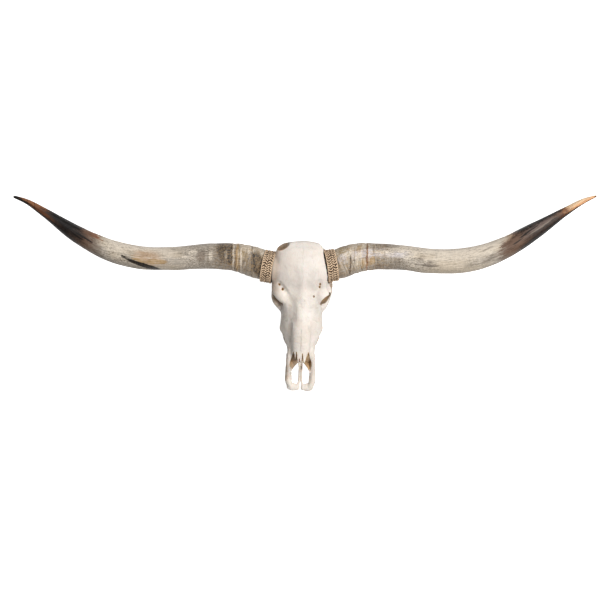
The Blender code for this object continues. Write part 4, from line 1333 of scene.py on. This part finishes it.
class Paint:
    """A material's nodes. Each call adds one and gives what comes out of it."""

    def __init__(self, name):
        self.material = bpy.data.materials.new(name)
        self.material.use_nodes = True
        self.tree = self.material.node_tree
        self.shader = self.tree.nodes["Principled BSDF"]

    def node(self, kind, inputs=(), out=0, **settings):
        node = self.tree.nodes.new("ShaderNode" + kind)
        for name, value in settings.items():
            setattr(node, name, value)
        for key, value in dict(inputs).items():
            if isinstance(value, bpy.types.NodeSocket):
                self.tree.links.new(value, node.inputs[key])
            else:
                node.inputs[key].default_value = value
        return node.outputs[out]

    def value(self, name):
        return self.node("Attribute", out="Fac", attribute_name=name)

    def vector(self, name):
        return self.node("Attribute", out="Vector", attribute_name=name)

    def place(self):
        return self.node("TexCoord", out="Object")

    def stretched(self, vector, scale):
        return self.node("Mapping", {"Vector": vector, "Scale": scale})

    def noise(self, vector, scale, detail=4.0, rough=0.55, warp=0.0):
        inputs = {"Vector": vector, "Scale": scale, "Detail": detail, "Roughness": rough}
        return self.node("TexNoise", {**inputs, "Distortion": warp})

    def cells(self, vector, scale, feature="F1"):
        inputs = {"Vector": vector, "Scale": scale}
        return self.node("TexVoronoi", inputs, out="Distance", feature=feature)

    def math(self, operation, a, b=0.0):
        return self.node("Math", {0: a, 1: b}, operation=operation)

    def plus(self, a, b):
        return self.math("ADD", a, b)

    def minus(self, a, b):
        return self.math("SUBTRACT", a, b)

    def times(self, a, b):
        return self.math("MULTIPLY", a, b)

    def sway(self, noise, reach):
        """A noise of 0 to 1 as a change of up to half the reach either way."""
        return self.times(self.minus(noise, 0.5), reach)

    def between(self, value, low, high, start=0.0, end=1.0):
        """start where the value is low or less, end where it is high or more, smooth between."""
        inputs = {"Value": value, "From Min": low, "From Max": high, "To Min": start, "To Max": end}
        return self.node("MapRange", inputs, interpolation_type="SMOOTHSTEP")

    def mix(self, share, a, b, mode="MIX"):
        node = self.tree.nodes.new("ShaderNodeMix")
        node.data_type, node.blend_type = "RGBA", mode
        for key, value in ((0, share), (6, a), (7, b)):
            if isinstance(value, bpy.types.NodeSocket):
                self.tree.links.new(value, node.inputs[key])
            else:
                node.inputs[key].default_value = value
        return node.outputs[2]

    def ramp(self, value, stops):
        """A colour that goes through stops of place and colour."""
        node = self.tree.nodes.new("ShaderNodeValToRGB")
        self.tree.links.new(value, node.inputs[0])
        band = node.color_ramp
        while len(band.elements) < len(stops):
            band.elements.new(0.5)
        for element, (place, colour) in zip(band.elements, sorted(stops)):
            element.position = place
            element.color = colour
        return node.outputs[0]

    def bump(self, height, distance, strength):
        return self.node("Bump", {"Height": height, "Distance": distance, "Strength": strength})

    def finish(self, colour, rough, normal, **sockets):
        links = self.tree.links
        links.new(colour, self.shader.inputs["Base Color"])
        if isinstance(rough, bpy.types.NodeSocket):
            links.new(rough, self.shader.inputs["Roughness"])
        else:
            self.shader.inputs["Roughness"].default_value = rough
        links.new(normal, self.shader.inputs["Normal"])
        for name, value in sockets.items():
            self.shader.inputs[name.replace("_", " ")].default_value = value
        return self.material


BONE_LIGHT = paint(244, 239, 233)
BONE_WARM = paint(234, 225, 215)
BONE_GREY = paint(208, 200, 193)
BONE_PAINTED_SHADE = paint(212, 198, 184)
BONE_STAIN_AND_SHADE = paint(154, 130, 104)
BONE_GOLD = paint(196, 156, 102)
BONE_PAINTED_DARK_SHADE = paint(80, 60, 42)


def bone_ground(m, place, clouds, patches, grain):
    """Bleached bone in warm and grey patches, with painted shade that makes the roof greyer and its right
    edge browner.
    """
    left = m.node("SeparateXYZ", {0: place}, out=0)
    along = m.node("SeparateXYZ", {0: place}, out=1)
    # Painted shade: the roof is painted greyer, and the right edge, turned from the key lamp, browner.
    roof = m.times(m.between(along, -0.014, 0.018), m.between(along, 0.030, 0.080, 0.80, 0.40))
    margin = m.times(m.between(along, -0.034, 0.006), m.between(left, -0.070, -0.094, 0.0, 0.80))
    colour = m.mix(m.between(clouds, 0.35, 0.65), BONE_LIGHT, BONE_WARM)
    colour = m.mix(roof, colour, BONE_GREY)
    colour = m.mix(margin, colour, BONE_PAINTED_SHADE, "MULTIPLY")
    colour = m.mix(m.between(patches, 0.52, 0.78, 0.0, 0.55), colour, BONE_GREY)
    return m.mix(m.between(grain, 0.50, 0.80, 0.0, 0.25), colour, BONE_STAIN_AND_SHADE)


def bone_stains_and_shade(m, colour, clouds, patches):
    """Brown where the bone is hollow or stained. Painted shade makes it dark where it is deep and brown, and
    where the stain value is beyond 1.
    """
    hollow = m.between(m.plus(m.value("hollow"), m.sway(patches, 0.12)), 0.60, 0.84, 0.0, 0.6)
    inner = m.between(m.plus(m.value("stain_and_shade"), m.sway(patches, 0.5)), 0.15, 0.85)
    stain_and_shade = m.math("MAXIMUM", hollow, inner)
    brown = m.mix(m.between(clouds, 0.42, 0.62), BONE_STAIN_AND_SHADE, BONE_GOLD)
    colour = m.mix(m.times(stain_and_shade, 0.88), colour, brown)
    # Painted shade: deep, brown places are painted darker, as are walls stained beyond 1.
    deep = m.between(m.value("deep"), 0.50, 0.74)
    colour = m.mix(m.times(m.times(deep, stain_and_shade), 0.45), colour, BONE_PAINTED_DARK_SHADE)
    return m.mix(m.between(m.value("stain_and_shade"), 1.0, 1.5, 0.0, 0.75), colour, BONE_PAINTED_DARK_SHADE)


def bone_seam(m, place):
    """How much of a drawn suture's line, which wavers, is at each place."""
    wiggle = m.sway(m.noise(place, 260.0, 3.0, 0.7), 0.0035)
    swing = m.sway(m.noise(place, 90.0, 2.0, 0.5), 0.004)
    seam = m.math("ABSOLUTE", m.plus(m.value("seam"), m.plus(wiggle, swing)))
    return m.between(seam, 0.00012, 0.00055, 1.0, 0.0)


def bone_material():
    m = Paint("bleached_bone")
    place = m.place()
    clouds = m.noise(place, 11.0, 5.0, 0.6)
    patches = m.noise(place, 60.0, 6.0, 0.62, 0.4)
    grain = m.noise(m.stretched(place, (420, 45, 420)), 1.0, 4.0, 0.6)
    colour = bone_ground(m, place, clouds, patches, grain)
    colour = bone_stains_and_shade(m, colour, clouds, patches)
    seam = bone_seam(m, place)
    colour = m.mix(m.times(seam, 0.18), colour, BONE_STAIN_AND_SHADE)
    cracks = m.cells(m.stretched(place, (30, 12, 30)), 1.0, "DISTANCE_TO_EDGE")
    cracked = m.between(m.noise(place, 16.0, 3.0), 0.50, 0.62)
    crack = m.times(m.between(cracks, 0.0, 0.006, 1.0, 0.0), cracked)
    colour = m.mix(m.times(crack, 0.3), colour, BONE_STAIN_AND_SHADE)
    pitted = m.between(m.noise(place, 26.0, 4.0), 0.46, 0.62)
    pore = m.times(m.between(m.cells(place, 620.0), 0.10, 0.28, 1.0, 0.0), pitted)
    colour = m.mix(m.times(pore, 0.35), colour, BONE_STAIN_AND_SHADE)
    height = m.plus(m.noise(place, 240.0, 8.0, 0.62), m.times(grain, 0.8))
    for groove, depth in ((pore, 0.8), (crack, 2.0), (seam, 2.0)):
        height = m.minus(height, m.times(groove, depth))
    normal = m.bump(height, 0.0005, 0.6)
    rough = m.between(patches, 0.3, 0.7, 0.52, 0.72)
    return m.finish(colour, rough, normal, Subsurface_Weight=0.06, Subsurface_Scale=0.004)


TOOTH_WHITE = paint(226, 216, 194)
TOOTH_IVORY = paint(196, 176, 138)
DENTINE = paint(150, 118, 80)
TARTAR = paint(70, 52, 38)


def tooth_material():
    m = Paint("tooth_enamel")
    place = m.place()
    streaks = m.noise(m.stretched(place, (500, 500, 60)), 1.0, 4.0)
    colour = m.mix(m.between(streaks, 0.40, 0.70), TOOTH_WHITE, TOOTH_IVORY)
    height = m.node("SeparateXYZ", {0: place}, out=2)
    stained = m.plus(height, m.sway(streaks, 0.02))
    colour = m.mix(m.between(stained, 0.004, 0.020, 0.0, 0.7), colour, TARTAR)
    rim = m.plus(m.value("rim"), m.sway(streaks, 0.0006))
    worn = m.times(m.between(rim, 0.0008, 0.0014), m.between(height, 0.0040, 0.0060, 1.0, 0.0))
    colour = m.mix(worn, colour, DENTINE)
    pit = m.between(height, 0.0034, 0.0050)
    inside = m.times(pit, m.between(m.value("rim"), 0.0003, 0.0010, 0.0, 1.0))
    colour = m.mix(inside, colour, TARTAR)
    normal = m.bump(m.plus(streaks, m.noise(place, 900.0, 3.0)), 0.0002, 0.6)
    return m.finish(colour, 0.32, normal)


BLACK = paint(20, 18, 18)
UMBER = paint(58, 46, 40)
BROWN = paint(104, 82, 68)
RUST = paint(146, 98, 66)
SIENNA = paint(104, 66, 44)
TAUPE = paint(128, 114, 102)
SLATE = paint(104, 96, 88)
ASH = paint(148, 139, 128)
GREY = paint(172, 164, 153)
SAND = paint(194, 182, 164)
CREAM = paint(212, 202, 187)
IVORY = paint(232, 222, 207)
PEARL = paint(212, 207, 209)
TAN = paint(182, 156, 130)
OCHRE = paint(176, 146, 104)
OLIVE = paint(148, 132, 102)
AMBER = paint(224, 170, 124)
PEACH = paint(240, 208, 170)
RUSSET = paint(140, 96, 70)
DUSK = paint(112, 98, 92)

# Colours along each horn by how far out they are, in four lanes from its upper edge to its lower edge.
HORN_COLOURS = {
    "right": (
        (
            (0.10, GREY), (0.150, SAND), (0.183, IVORY), (0.205, SAND), (0.230, ASH), (0.238, SLATE),
            (0.286, SLATE), (0.298, ASH), (0.330, GREY), (0.387, GREY), (0.428, CREAM), (0.480, IVORY),
            (0.640, IVORY), (0.676, SAND), (0.690, RUSSET), (0.735, BROWN), (0.755, BLACK), (0.840, BLACK),
            (0.862, UMBER), (0.880, RUST), (0.950, RUST), (0.960, BLACK),
        ),
        (
            (0.10, TAUPE), (0.142, TAUPE), (0.165, ASH), (0.185, ASH), (0.205, OLIVE), (0.222, ASH),
            (0.236, SLATE), (0.286, SLATE), (0.298, ASH), (0.346, ASH), (0.387, GREY), (0.428, SAND),
            (0.469, CREAM), (0.510, TAN), (0.555, TAN), (0.580, SAND), (0.640, CREAM), (0.674, SAND),
            (0.700, TAUPE), (0.722, BROWN), (0.750, UMBER), (0.785, BLACK), (0.840, BLACK), (0.862, UMBER),
            (0.885, SIENNA), (0.918, RUST), (0.948, RUST), (0.958, BLACK),
        ),
        (
            (0.10, TAUPE), (0.142, TAUPE), (0.183, ASH), (0.224, TAUPE), (0.265, SLATE), (0.306, ASH),
            (0.387, GREY), (0.450, GREY), (0.500, TAN), (0.560, OCHRE), (0.580, GREY), (0.640, SAND),
            (0.672, GREY), (0.705, TAUPE), (0.730, BROWN), (0.765, UMBER), (0.795, BLACK), (0.835, UMBER),
            (0.870, SIENNA), (0.915, SIENNA), (0.935, BLACK),
        ),
        (
            (0.10, ASH), (0.190, GREY), (0.224, TAUPE), (0.290, ASH), (0.380, GREY), (0.440, SAND),
            (0.520, GREY), (0.620, GREY), (0.680, ASH), (0.705, TAUPE), (0.740, BROWN), (0.775, UMBER),
            (0.800, BLACK),
        ),
    ),
    "left": (
        (
            (0.10, SAND), (0.130, OLIVE), (0.157, SAND), (0.185, CREAM), (0.215, SAND), (0.232, GREY),
            (0.250, ASH), (0.285, TAUPE), (0.300, CREAM), (0.400, CREAM), (0.440, IVORY), (0.610, IVORY),
            (0.672, CREAM), (0.696, TAN), (0.706, BROWN), (0.726, BLACK), (0.845, BLACK), (0.868, UMBER),
            (0.878, RUST), (0.890, PEACH), (0.975, PEACH), (0.984, UMBER),
        ),
        (
            (0.10, ASH), (0.140, PEARL), (0.157, SAND), (0.175, PEARL), (0.210, PEARL), (0.240, PEARL),
            (0.330, PEARL), (0.365, CREAM), (0.400, SAND), (0.430, SAND), (0.450, CREAM), (0.640, CREAM),
            (0.660, SAND), (0.670, BROWN), (0.735, BROWN), (0.760, DUSK), (0.830, DUSK), (0.862, BROWN),
            (0.885, RUST), (0.905, PEACH), (0.940, PEACH), (0.970, AMBER), (0.982, UMBER),
        ),
        (
            (0.10, TAUPE), (0.140, ASH), (0.165, GREY), (0.198, SAND), (0.222, TAN), (0.240, ASH),
            (0.330, ASH), (0.361, GREY), (0.400, GREY), (0.430, ASH), (0.460, SAND), (0.520, SAND),
            (0.600, GREY), (0.650, ASH), (0.668, TAUPE), (0.690, BROWN), (0.740, BROWN), (0.780, UMBER),
            (0.860, UMBER), (0.885, SIENNA), (0.915, AMBER), (0.970, AMBER), (0.982, UMBER),
        ),
        (
            (0.10, TAUPE), (0.160, ASH), (0.210, GREY), (0.250, TAUPE), (0.330, ASH), (0.440, SAND),
            (0.600, SAND), (0.655, GREY), (0.675, TAUPE), (0.710, BROWN), (0.735, UMBER), (0.755, BLACK),
            (0.905, BLACK), (0.930, SIENNA), (0.982, RUSSET),
        ),
    ),
}
# Where each lane gives way to the next, across the horn from 1 at its upper edge to -1 at its lower.
LANE_EDGES = ((0.70, 0.36), (0.20, -0.16), (-0.44, -0.80))
# Spots of one colour: out, across the horn from -1 to 1, half length, half width, slant, colour, strength.
HORN_MARKS = {
    "right": (
        (0.530, 0.10, 0.046, 0.32, 0, TAN, 0.75),
        (0.492, -0.30, 0.036, 0.24, 0, OCHRE, 0.85),
        (0.605, -0.20, 0.009, 0.14, 0, BLACK, 0.90),
        (0.540, -0.62, 0.066, 0.200, 5.6, BLACK, 1.0),
        (0.274, 0.30, 0.015, 0.62, 0, BLACK, 0.48),
        (0.246, 0.10, 0.010, 0.80, 0, BLACK, 0.48),
        (0.261, 0.15, 0.005, 0.40, 0, GREY, 0.60),
        (0.312, 0.05, 0.007, 0.45, 0, IVORY, 0.50),
        (0.154, 0.00, 0.021, 0.85, 0, BLACK, 0.68),
        (0.165, 0.15, 0.0030, 0.60, 0, BLACK, 0.50),
        (0.152, -0.45, 0.012, 0.35, 0, UMBER, 0.60),
        (0.345, -0.05, 0.016, 0.40, 0, TAUPE, 0.60),
        (0.372, 0.35, 0.018, 0.20, 0, IVORY, 0.85),
        (0.400, 0.05, 0.010, 0.12, 0, IVORY, 0.80),
        (0.235, 0.00, 0.0034, 1.60, 0, IVORY, 0.72),
        (0.222, 0.10, 0.0052, 1.40, 0, OCHRE, 0.90),
        (0.209, 0.00, 0.0032, 1.60, 0, IVORY, 0.66),
        (0.190, 0.20, 0.0050, 0.80, 0, OLIVE, 0.40),
        (0.172, 0.10, 0.0036, 1.20, 0, SLATE, 0.80),
        (0.740, 0.10, 0.034, 0.10, 3.0, BLACK, 0.95),
        (0.764, -0.15, 0.028, 0.08, 3.0, BLACK, 0.95),
        (0.930, 0.00, 0.0015, 1.0, 0, BLACK, 0.60),
        (0.905, 0.10, 0.0015, 1.0, 0, BLACK, 0.60),
    ),
    "left": (
        (0.162, -0.35, 0.0030, 0.80, 0, UMBER, 0.80),
        (0.174, -0.10, 0.0016, 0.90, 0, SLATE, 0.70),
        (0.218, 0.00, 0.0030, 1.60, 0, RUSSET, 0.90),
        (0.190, 0.55, 0.0100, 0.30, 0, OCHRE, 0.60),
        (0.236, -0.30, 0.010, 0.36, 0, OCHRE, 0.75),
        (0.203, -0.45, 0.006, 0.40, 0, OCHRE, 0.65),
        (0.270, 0.36, 0.046, 0.16, 0, IVORY, 0.80),
        (0.152, 0.45, 0.018, 0.20, 0, IVORY, 0.75),
        (0.190, 0.10, 0.010, 0.24, 0, IVORY, 0.60),
        (0.300, 0.85, 0.030, 0.18, 0, SLATE, 0.60),
        (0.330, 0.45, 0.016, 0.14, 0, IVORY, 0.70),
        (0.430, -0.38, 0.034, 0.12, 0, SLATE, 0.70),
        (0.400, -0.05, 0.012, 0.26, 0, ASH, 0.70),
        (0.800, 0.02, 0.045, 0.10, 2.0, ASH, 0.50),
        (0.760, 0.30, 0.034, 0.10, 3.0, BLACK, 0.90),
        (0.724, -0.02, 0.018, 0.08, 3.0, BLACK, 0.80),
    ),
}

# Where each horn is gritty: from, full from, full to, to, strength.
GRIT_ZONES = {
    "right": ((0.25, 0.29, 0.39, 0.44, 1.0), (0.40, 0.46, 0.55, 0.60, 0.30), (0.57, 0.60, 0.68, 0.70, 0.90)),
    "left": ((0.25, 0.28, 0.40, 0.45, 1.0), (0.40, 0.46, 0.62, 0.68, 0.4), (0.70, 0.72, 0.95, 0.97, 0.25)),
}


def horn_lanes(m, side, out, across):
    """The horn's colours, out along it, in lanes that give way to each other across it."""
    colour, *lanes = [m.ramp(out, stops) for stops in HORN_COLOURS[side]]
    for lane, (upper, lower) in zip(lanes, LANE_EDGES):
        colour = m.mix(m.between(across, upper, lower), colour, lane)
    return colour


def horn_marks(m, side, colour, out, across):
    """Spots of colour on the horn's front."""
    front = m.between(m.value("front"), -0.4, 0.0)
    for middle, height, half_length, half_width, slant, mark, strength in HORN_MARKS[side]:
        beyond = m.minus(out, middle)
        above = m.minus(across, height)
        if slant:
            above = m.minus(above, m.times(beyond, slant))
        u = m.math("DIVIDE", beyond, half_length)
        v = m.math("DIVIDE", above, half_width)
        reach = m.plus(m.times(u, u), m.times(v, v))
        colour = m.mix(m.times(m.between(reach, 0.5, 1.2, strength, 0.0), front), colour, mark)
    return colour


def horn_grit(m, side, out, uneven):
    """How gritty the horn is."""
    gritty = 0.0
    for start, full, end, last, strength in GRIT_ZONES[side]:
        zone = m.times(m.between(out, start, full, 0.0, strength), m.between(out, end, last, 1.0, 0.0))
        gritty = m.math("MAXIMUM", zone, gritty)
    return m.times(gritty, m.between(uneven, 0.40, 0.58, 0.55, 1.0))


def horn_material(side):
    m = Paint("horn_" + side)
    straight, out, upward = m.vector("straight"), m.value("out"), m.value("upward")
    broad = m.noise(m.stretched(straight, (10, 120, 120)), 1.0, 5.0, 0.62)
    fine = m.noise(m.stretched(straight, (28, 290, 290)), 1.0, 5.0, 0.66)
    ragged = m.noise(m.stretched(straight, (110, 190, 190)), 1.0, 6.0, 0.74)
    grit = m.noise(m.stretched(straight, (160, 250, 250)), 1.0, 5.0, 0.74)
    hoops = m.noise(m.stretched(straight, (150, 22, 22)), 1.0, 5.0, 0.66, 1.1)
    marbling = m.noise(straight, 75.0, 6.0, 0.65, 1.6)
    # The colours' borders are ragged, along the horn and across it.
    shift = m.plus(m.sway(broad, 0.055), m.sway(ragged, 0.075))
    drift = m.plus(m.sway(ragged, 0.9), m.sway(broad, 0.9))
    moved = m.plus(out, m.times(shift, m.between(out, 0.20, 0.45, 0.20, 1.0)))
    colour = horn_lanes(m, side, moved, m.plus(upward, drift))
    near, over = m.plus(out, m.times(shift, 0.12)), m.plus(upward, m.times(drift, 0.25))
    colour = horn_marks(m, side, colour, near, over)
    # Streaks run along the horn, and grit lies on its middle.
    pale = m.mix(m.between(out, 0.665, 0.70), IVORY, BROWN)
    light = m.between(m.node("RGBToBW", {"Color": colour}), 0.08, 0.40, 0.15, 1.0)
    gritty = horn_grit(m, side, out, m.noise(straight, 24.0, 3.0))
    colour = m.mix(m.between(broad, 0.54, 0.68, 0.0, 0.45), colour, ASH, "MULTIPLY")
    colour = m.mix(m.between(fine, 0.52, 0.66, 0.0, 0.60), colour, SLATE, "MULTIPLY")
    colour = m.mix(m.times(m.between(fine, 0.48, 0.35, 0.0, 0.55), light), colour, pale)
    colour = m.mix(m.times(m.between(grit, 0.52, 0.62, 0.0, 0.75), gritty), colour, SLATE, "MULTIPLY")
    pale_grit = m.times(m.between(grit, 0.48, 0.38, 0.0, 0.75), m.times(gritty, light))
    colour = m.mix(pale_grit, colour, pale)
    # Pale specks, up to where the tip's brown begins.
    specks = m.cells(m.stretched(straight, (150, 210, 210)), 1.0)
    speckled = m.times(m.between(marbling, 0.52, 0.60), m.between(out, 0.44, 0.56, 0.9, 0.2))
    speckled = m.times(m.times(speckled, m.between(out, 0.62, 0.66, 1.0, 0.0)), light)
    colour = m.mix(m.times(m.between(specks, 0.18, 0.32, 1.0, 0.0), speckled), colour, IVORY)
    # Rings and marbling near the root.
    near_root = m.times(m.between(out, 0.24, 0.34, 1.0, 0.15), m.between(out, 0.60, 0.66, 1.0, 0.0))
    colour = m.mix(m.times(m.between(hoops, 0.53, 0.62, 0.0, 0.62), near_root), colour, SLATE, "MULTIPLY")
    pale_hoops = m.times(m.between(hoops, 0.46, 0.38, 0.0, 0.60), m.times(near_root, light))
    colour = m.mix(pale_hoops, colour, IVORY)
    veins = m.math("ABSOLUTE", m.minus(marbling, 0.5))
    vein = m.times(m.between(veins, 0.008, 0.036, 1.0, 0.0), m.times(near_root, 0.72))
    colour = m.mix(vein, colour, OCHRE)
    height = m.plus(m.times(fine, 0.6), m.times(grit, 0.8))
    height = m.plus(height, m.times(m.times(hoops, near_root), 1.2))
    normal = m.bump(height, 0.0007, 0.6)
    rough = m.between(ragged, 0.30, 0.70, 0.40, 0.58)
    return m.finish(colour, rough, normal, Specular_IOR_Level=0.20)


ROPE_LIGHT = paint(250, 226, 196)
ROPE_TAN = paint(228, 196, 160)
ROPE_BROWN = paint(136, 106, 80)
ROPE_CREVICE_SHADE = paint(66, 46, 32)


def rope_material():
    m = Paint("jute_rope")
    straight, rise = m.vector("straight"), m.value("rise")
    fibres = m.noise(m.stretched(straight, (160, 2600, 2600)), 1.0, 4.0, 0.6)
    strands = m.noise(m.stretched(straight, (60, 500, 500)), 1.0, 3.0)
    colour = m.mix(m.between(fibres, 0.35, 0.68), ROPE_TAN, ROPE_LIGHT)
    colour = m.mix(m.between(strands, 0.48, 0.66, 0.0, 0.35), colour, ROPE_BROWN)
    shade = m.plus(m.value("tint"), m.sway(strands, 1.5))
    colour = m.mix(m.between(shade, 0.2, 1.1, 0.0, 0.4), colour, ROPE_BROWN)
    # Painted shade: darker where a strand turns in towards the others and where the rope sinks towards the
    # horn.
    colour = m.mix(m.between(m.value("crown"), 0.90, 0.50), colour, ROPE_CREVICE_SHADE)
    colour = m.mix(m.between(rise, 0.0542, 0.0510), colour, ROPE_CREVICE_SHADE)
    normal = m.bump(fibres, 0.0005, 0.9)
    return m.finish(colour, 0.85, normal)


# ------------------------------------------------------------------------------------------------
# Floor, light and camera
# ------------------------------------------------------------------------------------------------

# The camera looks straight down, turned as far as the skull leans in the photo.
CAMERA_HEIGHT = 8.0
CAMERA_PLACE = Vector((-0.0065, -0.033, CAMERA_HEIGHT))
IMAGE_UP = Vector((-0.02, 0.9998, 0.0))
SENSOR = 36.0
VIEW_WIDTH = 2.04
VIEW_LEVEL = 0.15  # the height at which the view is that wide
FLOOR_REACH = 20
SKY_COLOUR = (1.0, 0.92, 0.85, 1.0)
SKY_STRENGTH = 0.178
LAMP_TARGET = Vector((0, 0, 0.1))
# Name, place, size, watts and colour.
LAMPS = (
    ("key", (2.05, -0.35, 3.95), 1.4, 156.0, (1.0, 0.99, 0.975)),
    ("fill", (0.15, 2.35, 3.7), 1.8, 53.0, (1.0, 0.985, 0.965)),
)


def aim(thing, place, target, up):
    """Puts a camera or lamp at a place, looking at a target."""
    back = (place - target).normalized()
    right = up.cross(back).normalized()
    turn = Matrix((right, back.cross(right), back)).transposed()
    thing.matrix_world = Matrix.Translation(place) @ turn.to_4x4()


def make_camera():
    camera = bpy.data.cameras.new("camera")
    camera.sensor_width = SENSOR
    camera.lens = SENSOR * (CAMERA_HEIGHT - VIEW_LEVEL) / VIEW_WIDTH
    piece = into_scene("camera", camera)
    aim(piece, CAMERA_PLACE, CAMERA_PLACE - Vector((0, 0, CAMERA_HEIGHT)), IMAGE_UP)
    bpy.context.scene.camera = piece


def make_lamp(name, place, size, watts, colour):
    lamp = bpy.data.lights.new(name, "AREA")
    lamp.shape = "DISK"
    lamp.size = size
    lamp.energy = watts
    lamp.color = colour
    aim(into_scene(name, lamp), Vector(place), LAMP_TARGET, Vector((0, 1, 0)))


def make_sky():
    world = bpy.data.worlds.new("studio")
    world.use_nodes = True
    sky = world.node_tree.nodes["Background"]
    sky.inputs["Color"].default_value = SKY_COLOUR
    sky.inputs["Strength"].default_value = SKY_STRENGTH
    bpy.context.scene.world = world
    bpy.context.scene.view_settings.view_transform = "Standard"


def make_floor():
    """White paper that glows, so that it stays as white as the photo's ground."""
    floor = bpy.data.meshes.new("floor")
    corners = [(x * FLOOR_REACH, y * FLOOR_REACH, 0) for x, y in ((-1, -1), (1, -1), (1, 1), (-1, 1))]
    floor.from_pydata(corners, [], [(0, 1, 2, 3)])
    paper = Paint("white_paper")
    paper.shader.inputs["Base Color"].default_value = (0.80, 0.80, 0.80, 1.0)
    paper.shader.inputs["Roughness"].default_value = 0.9
    paper.shader.inputs["Emission Color"].default_value = (1.0, 1.0, 1.0, 1.0)
    paper.shader.inputs["Emission Strength"].default_value = 1.0
    floor.materials.append(paper.material)
    piece = into_scene("floor", floor)
    piece.visible_diffuse = False


# ------------------------------------------------------------------------------------------------
# The whole model
# ------------------------------------------------------------------------------------------------


def main():
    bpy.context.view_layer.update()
    make_camera()
    make_sky()
    for lamp in LAMPS:
        make_lamp(*lamp)
    make_floor()
    make_bones(bone_material())
    make_teeth(tooth_material())
    for side, _ in SIDES:
        make_horn(side, horn_material(side))
    rope = rope_material()
    for side, _ in SIDES:
        make_rope(side, rope)


main()
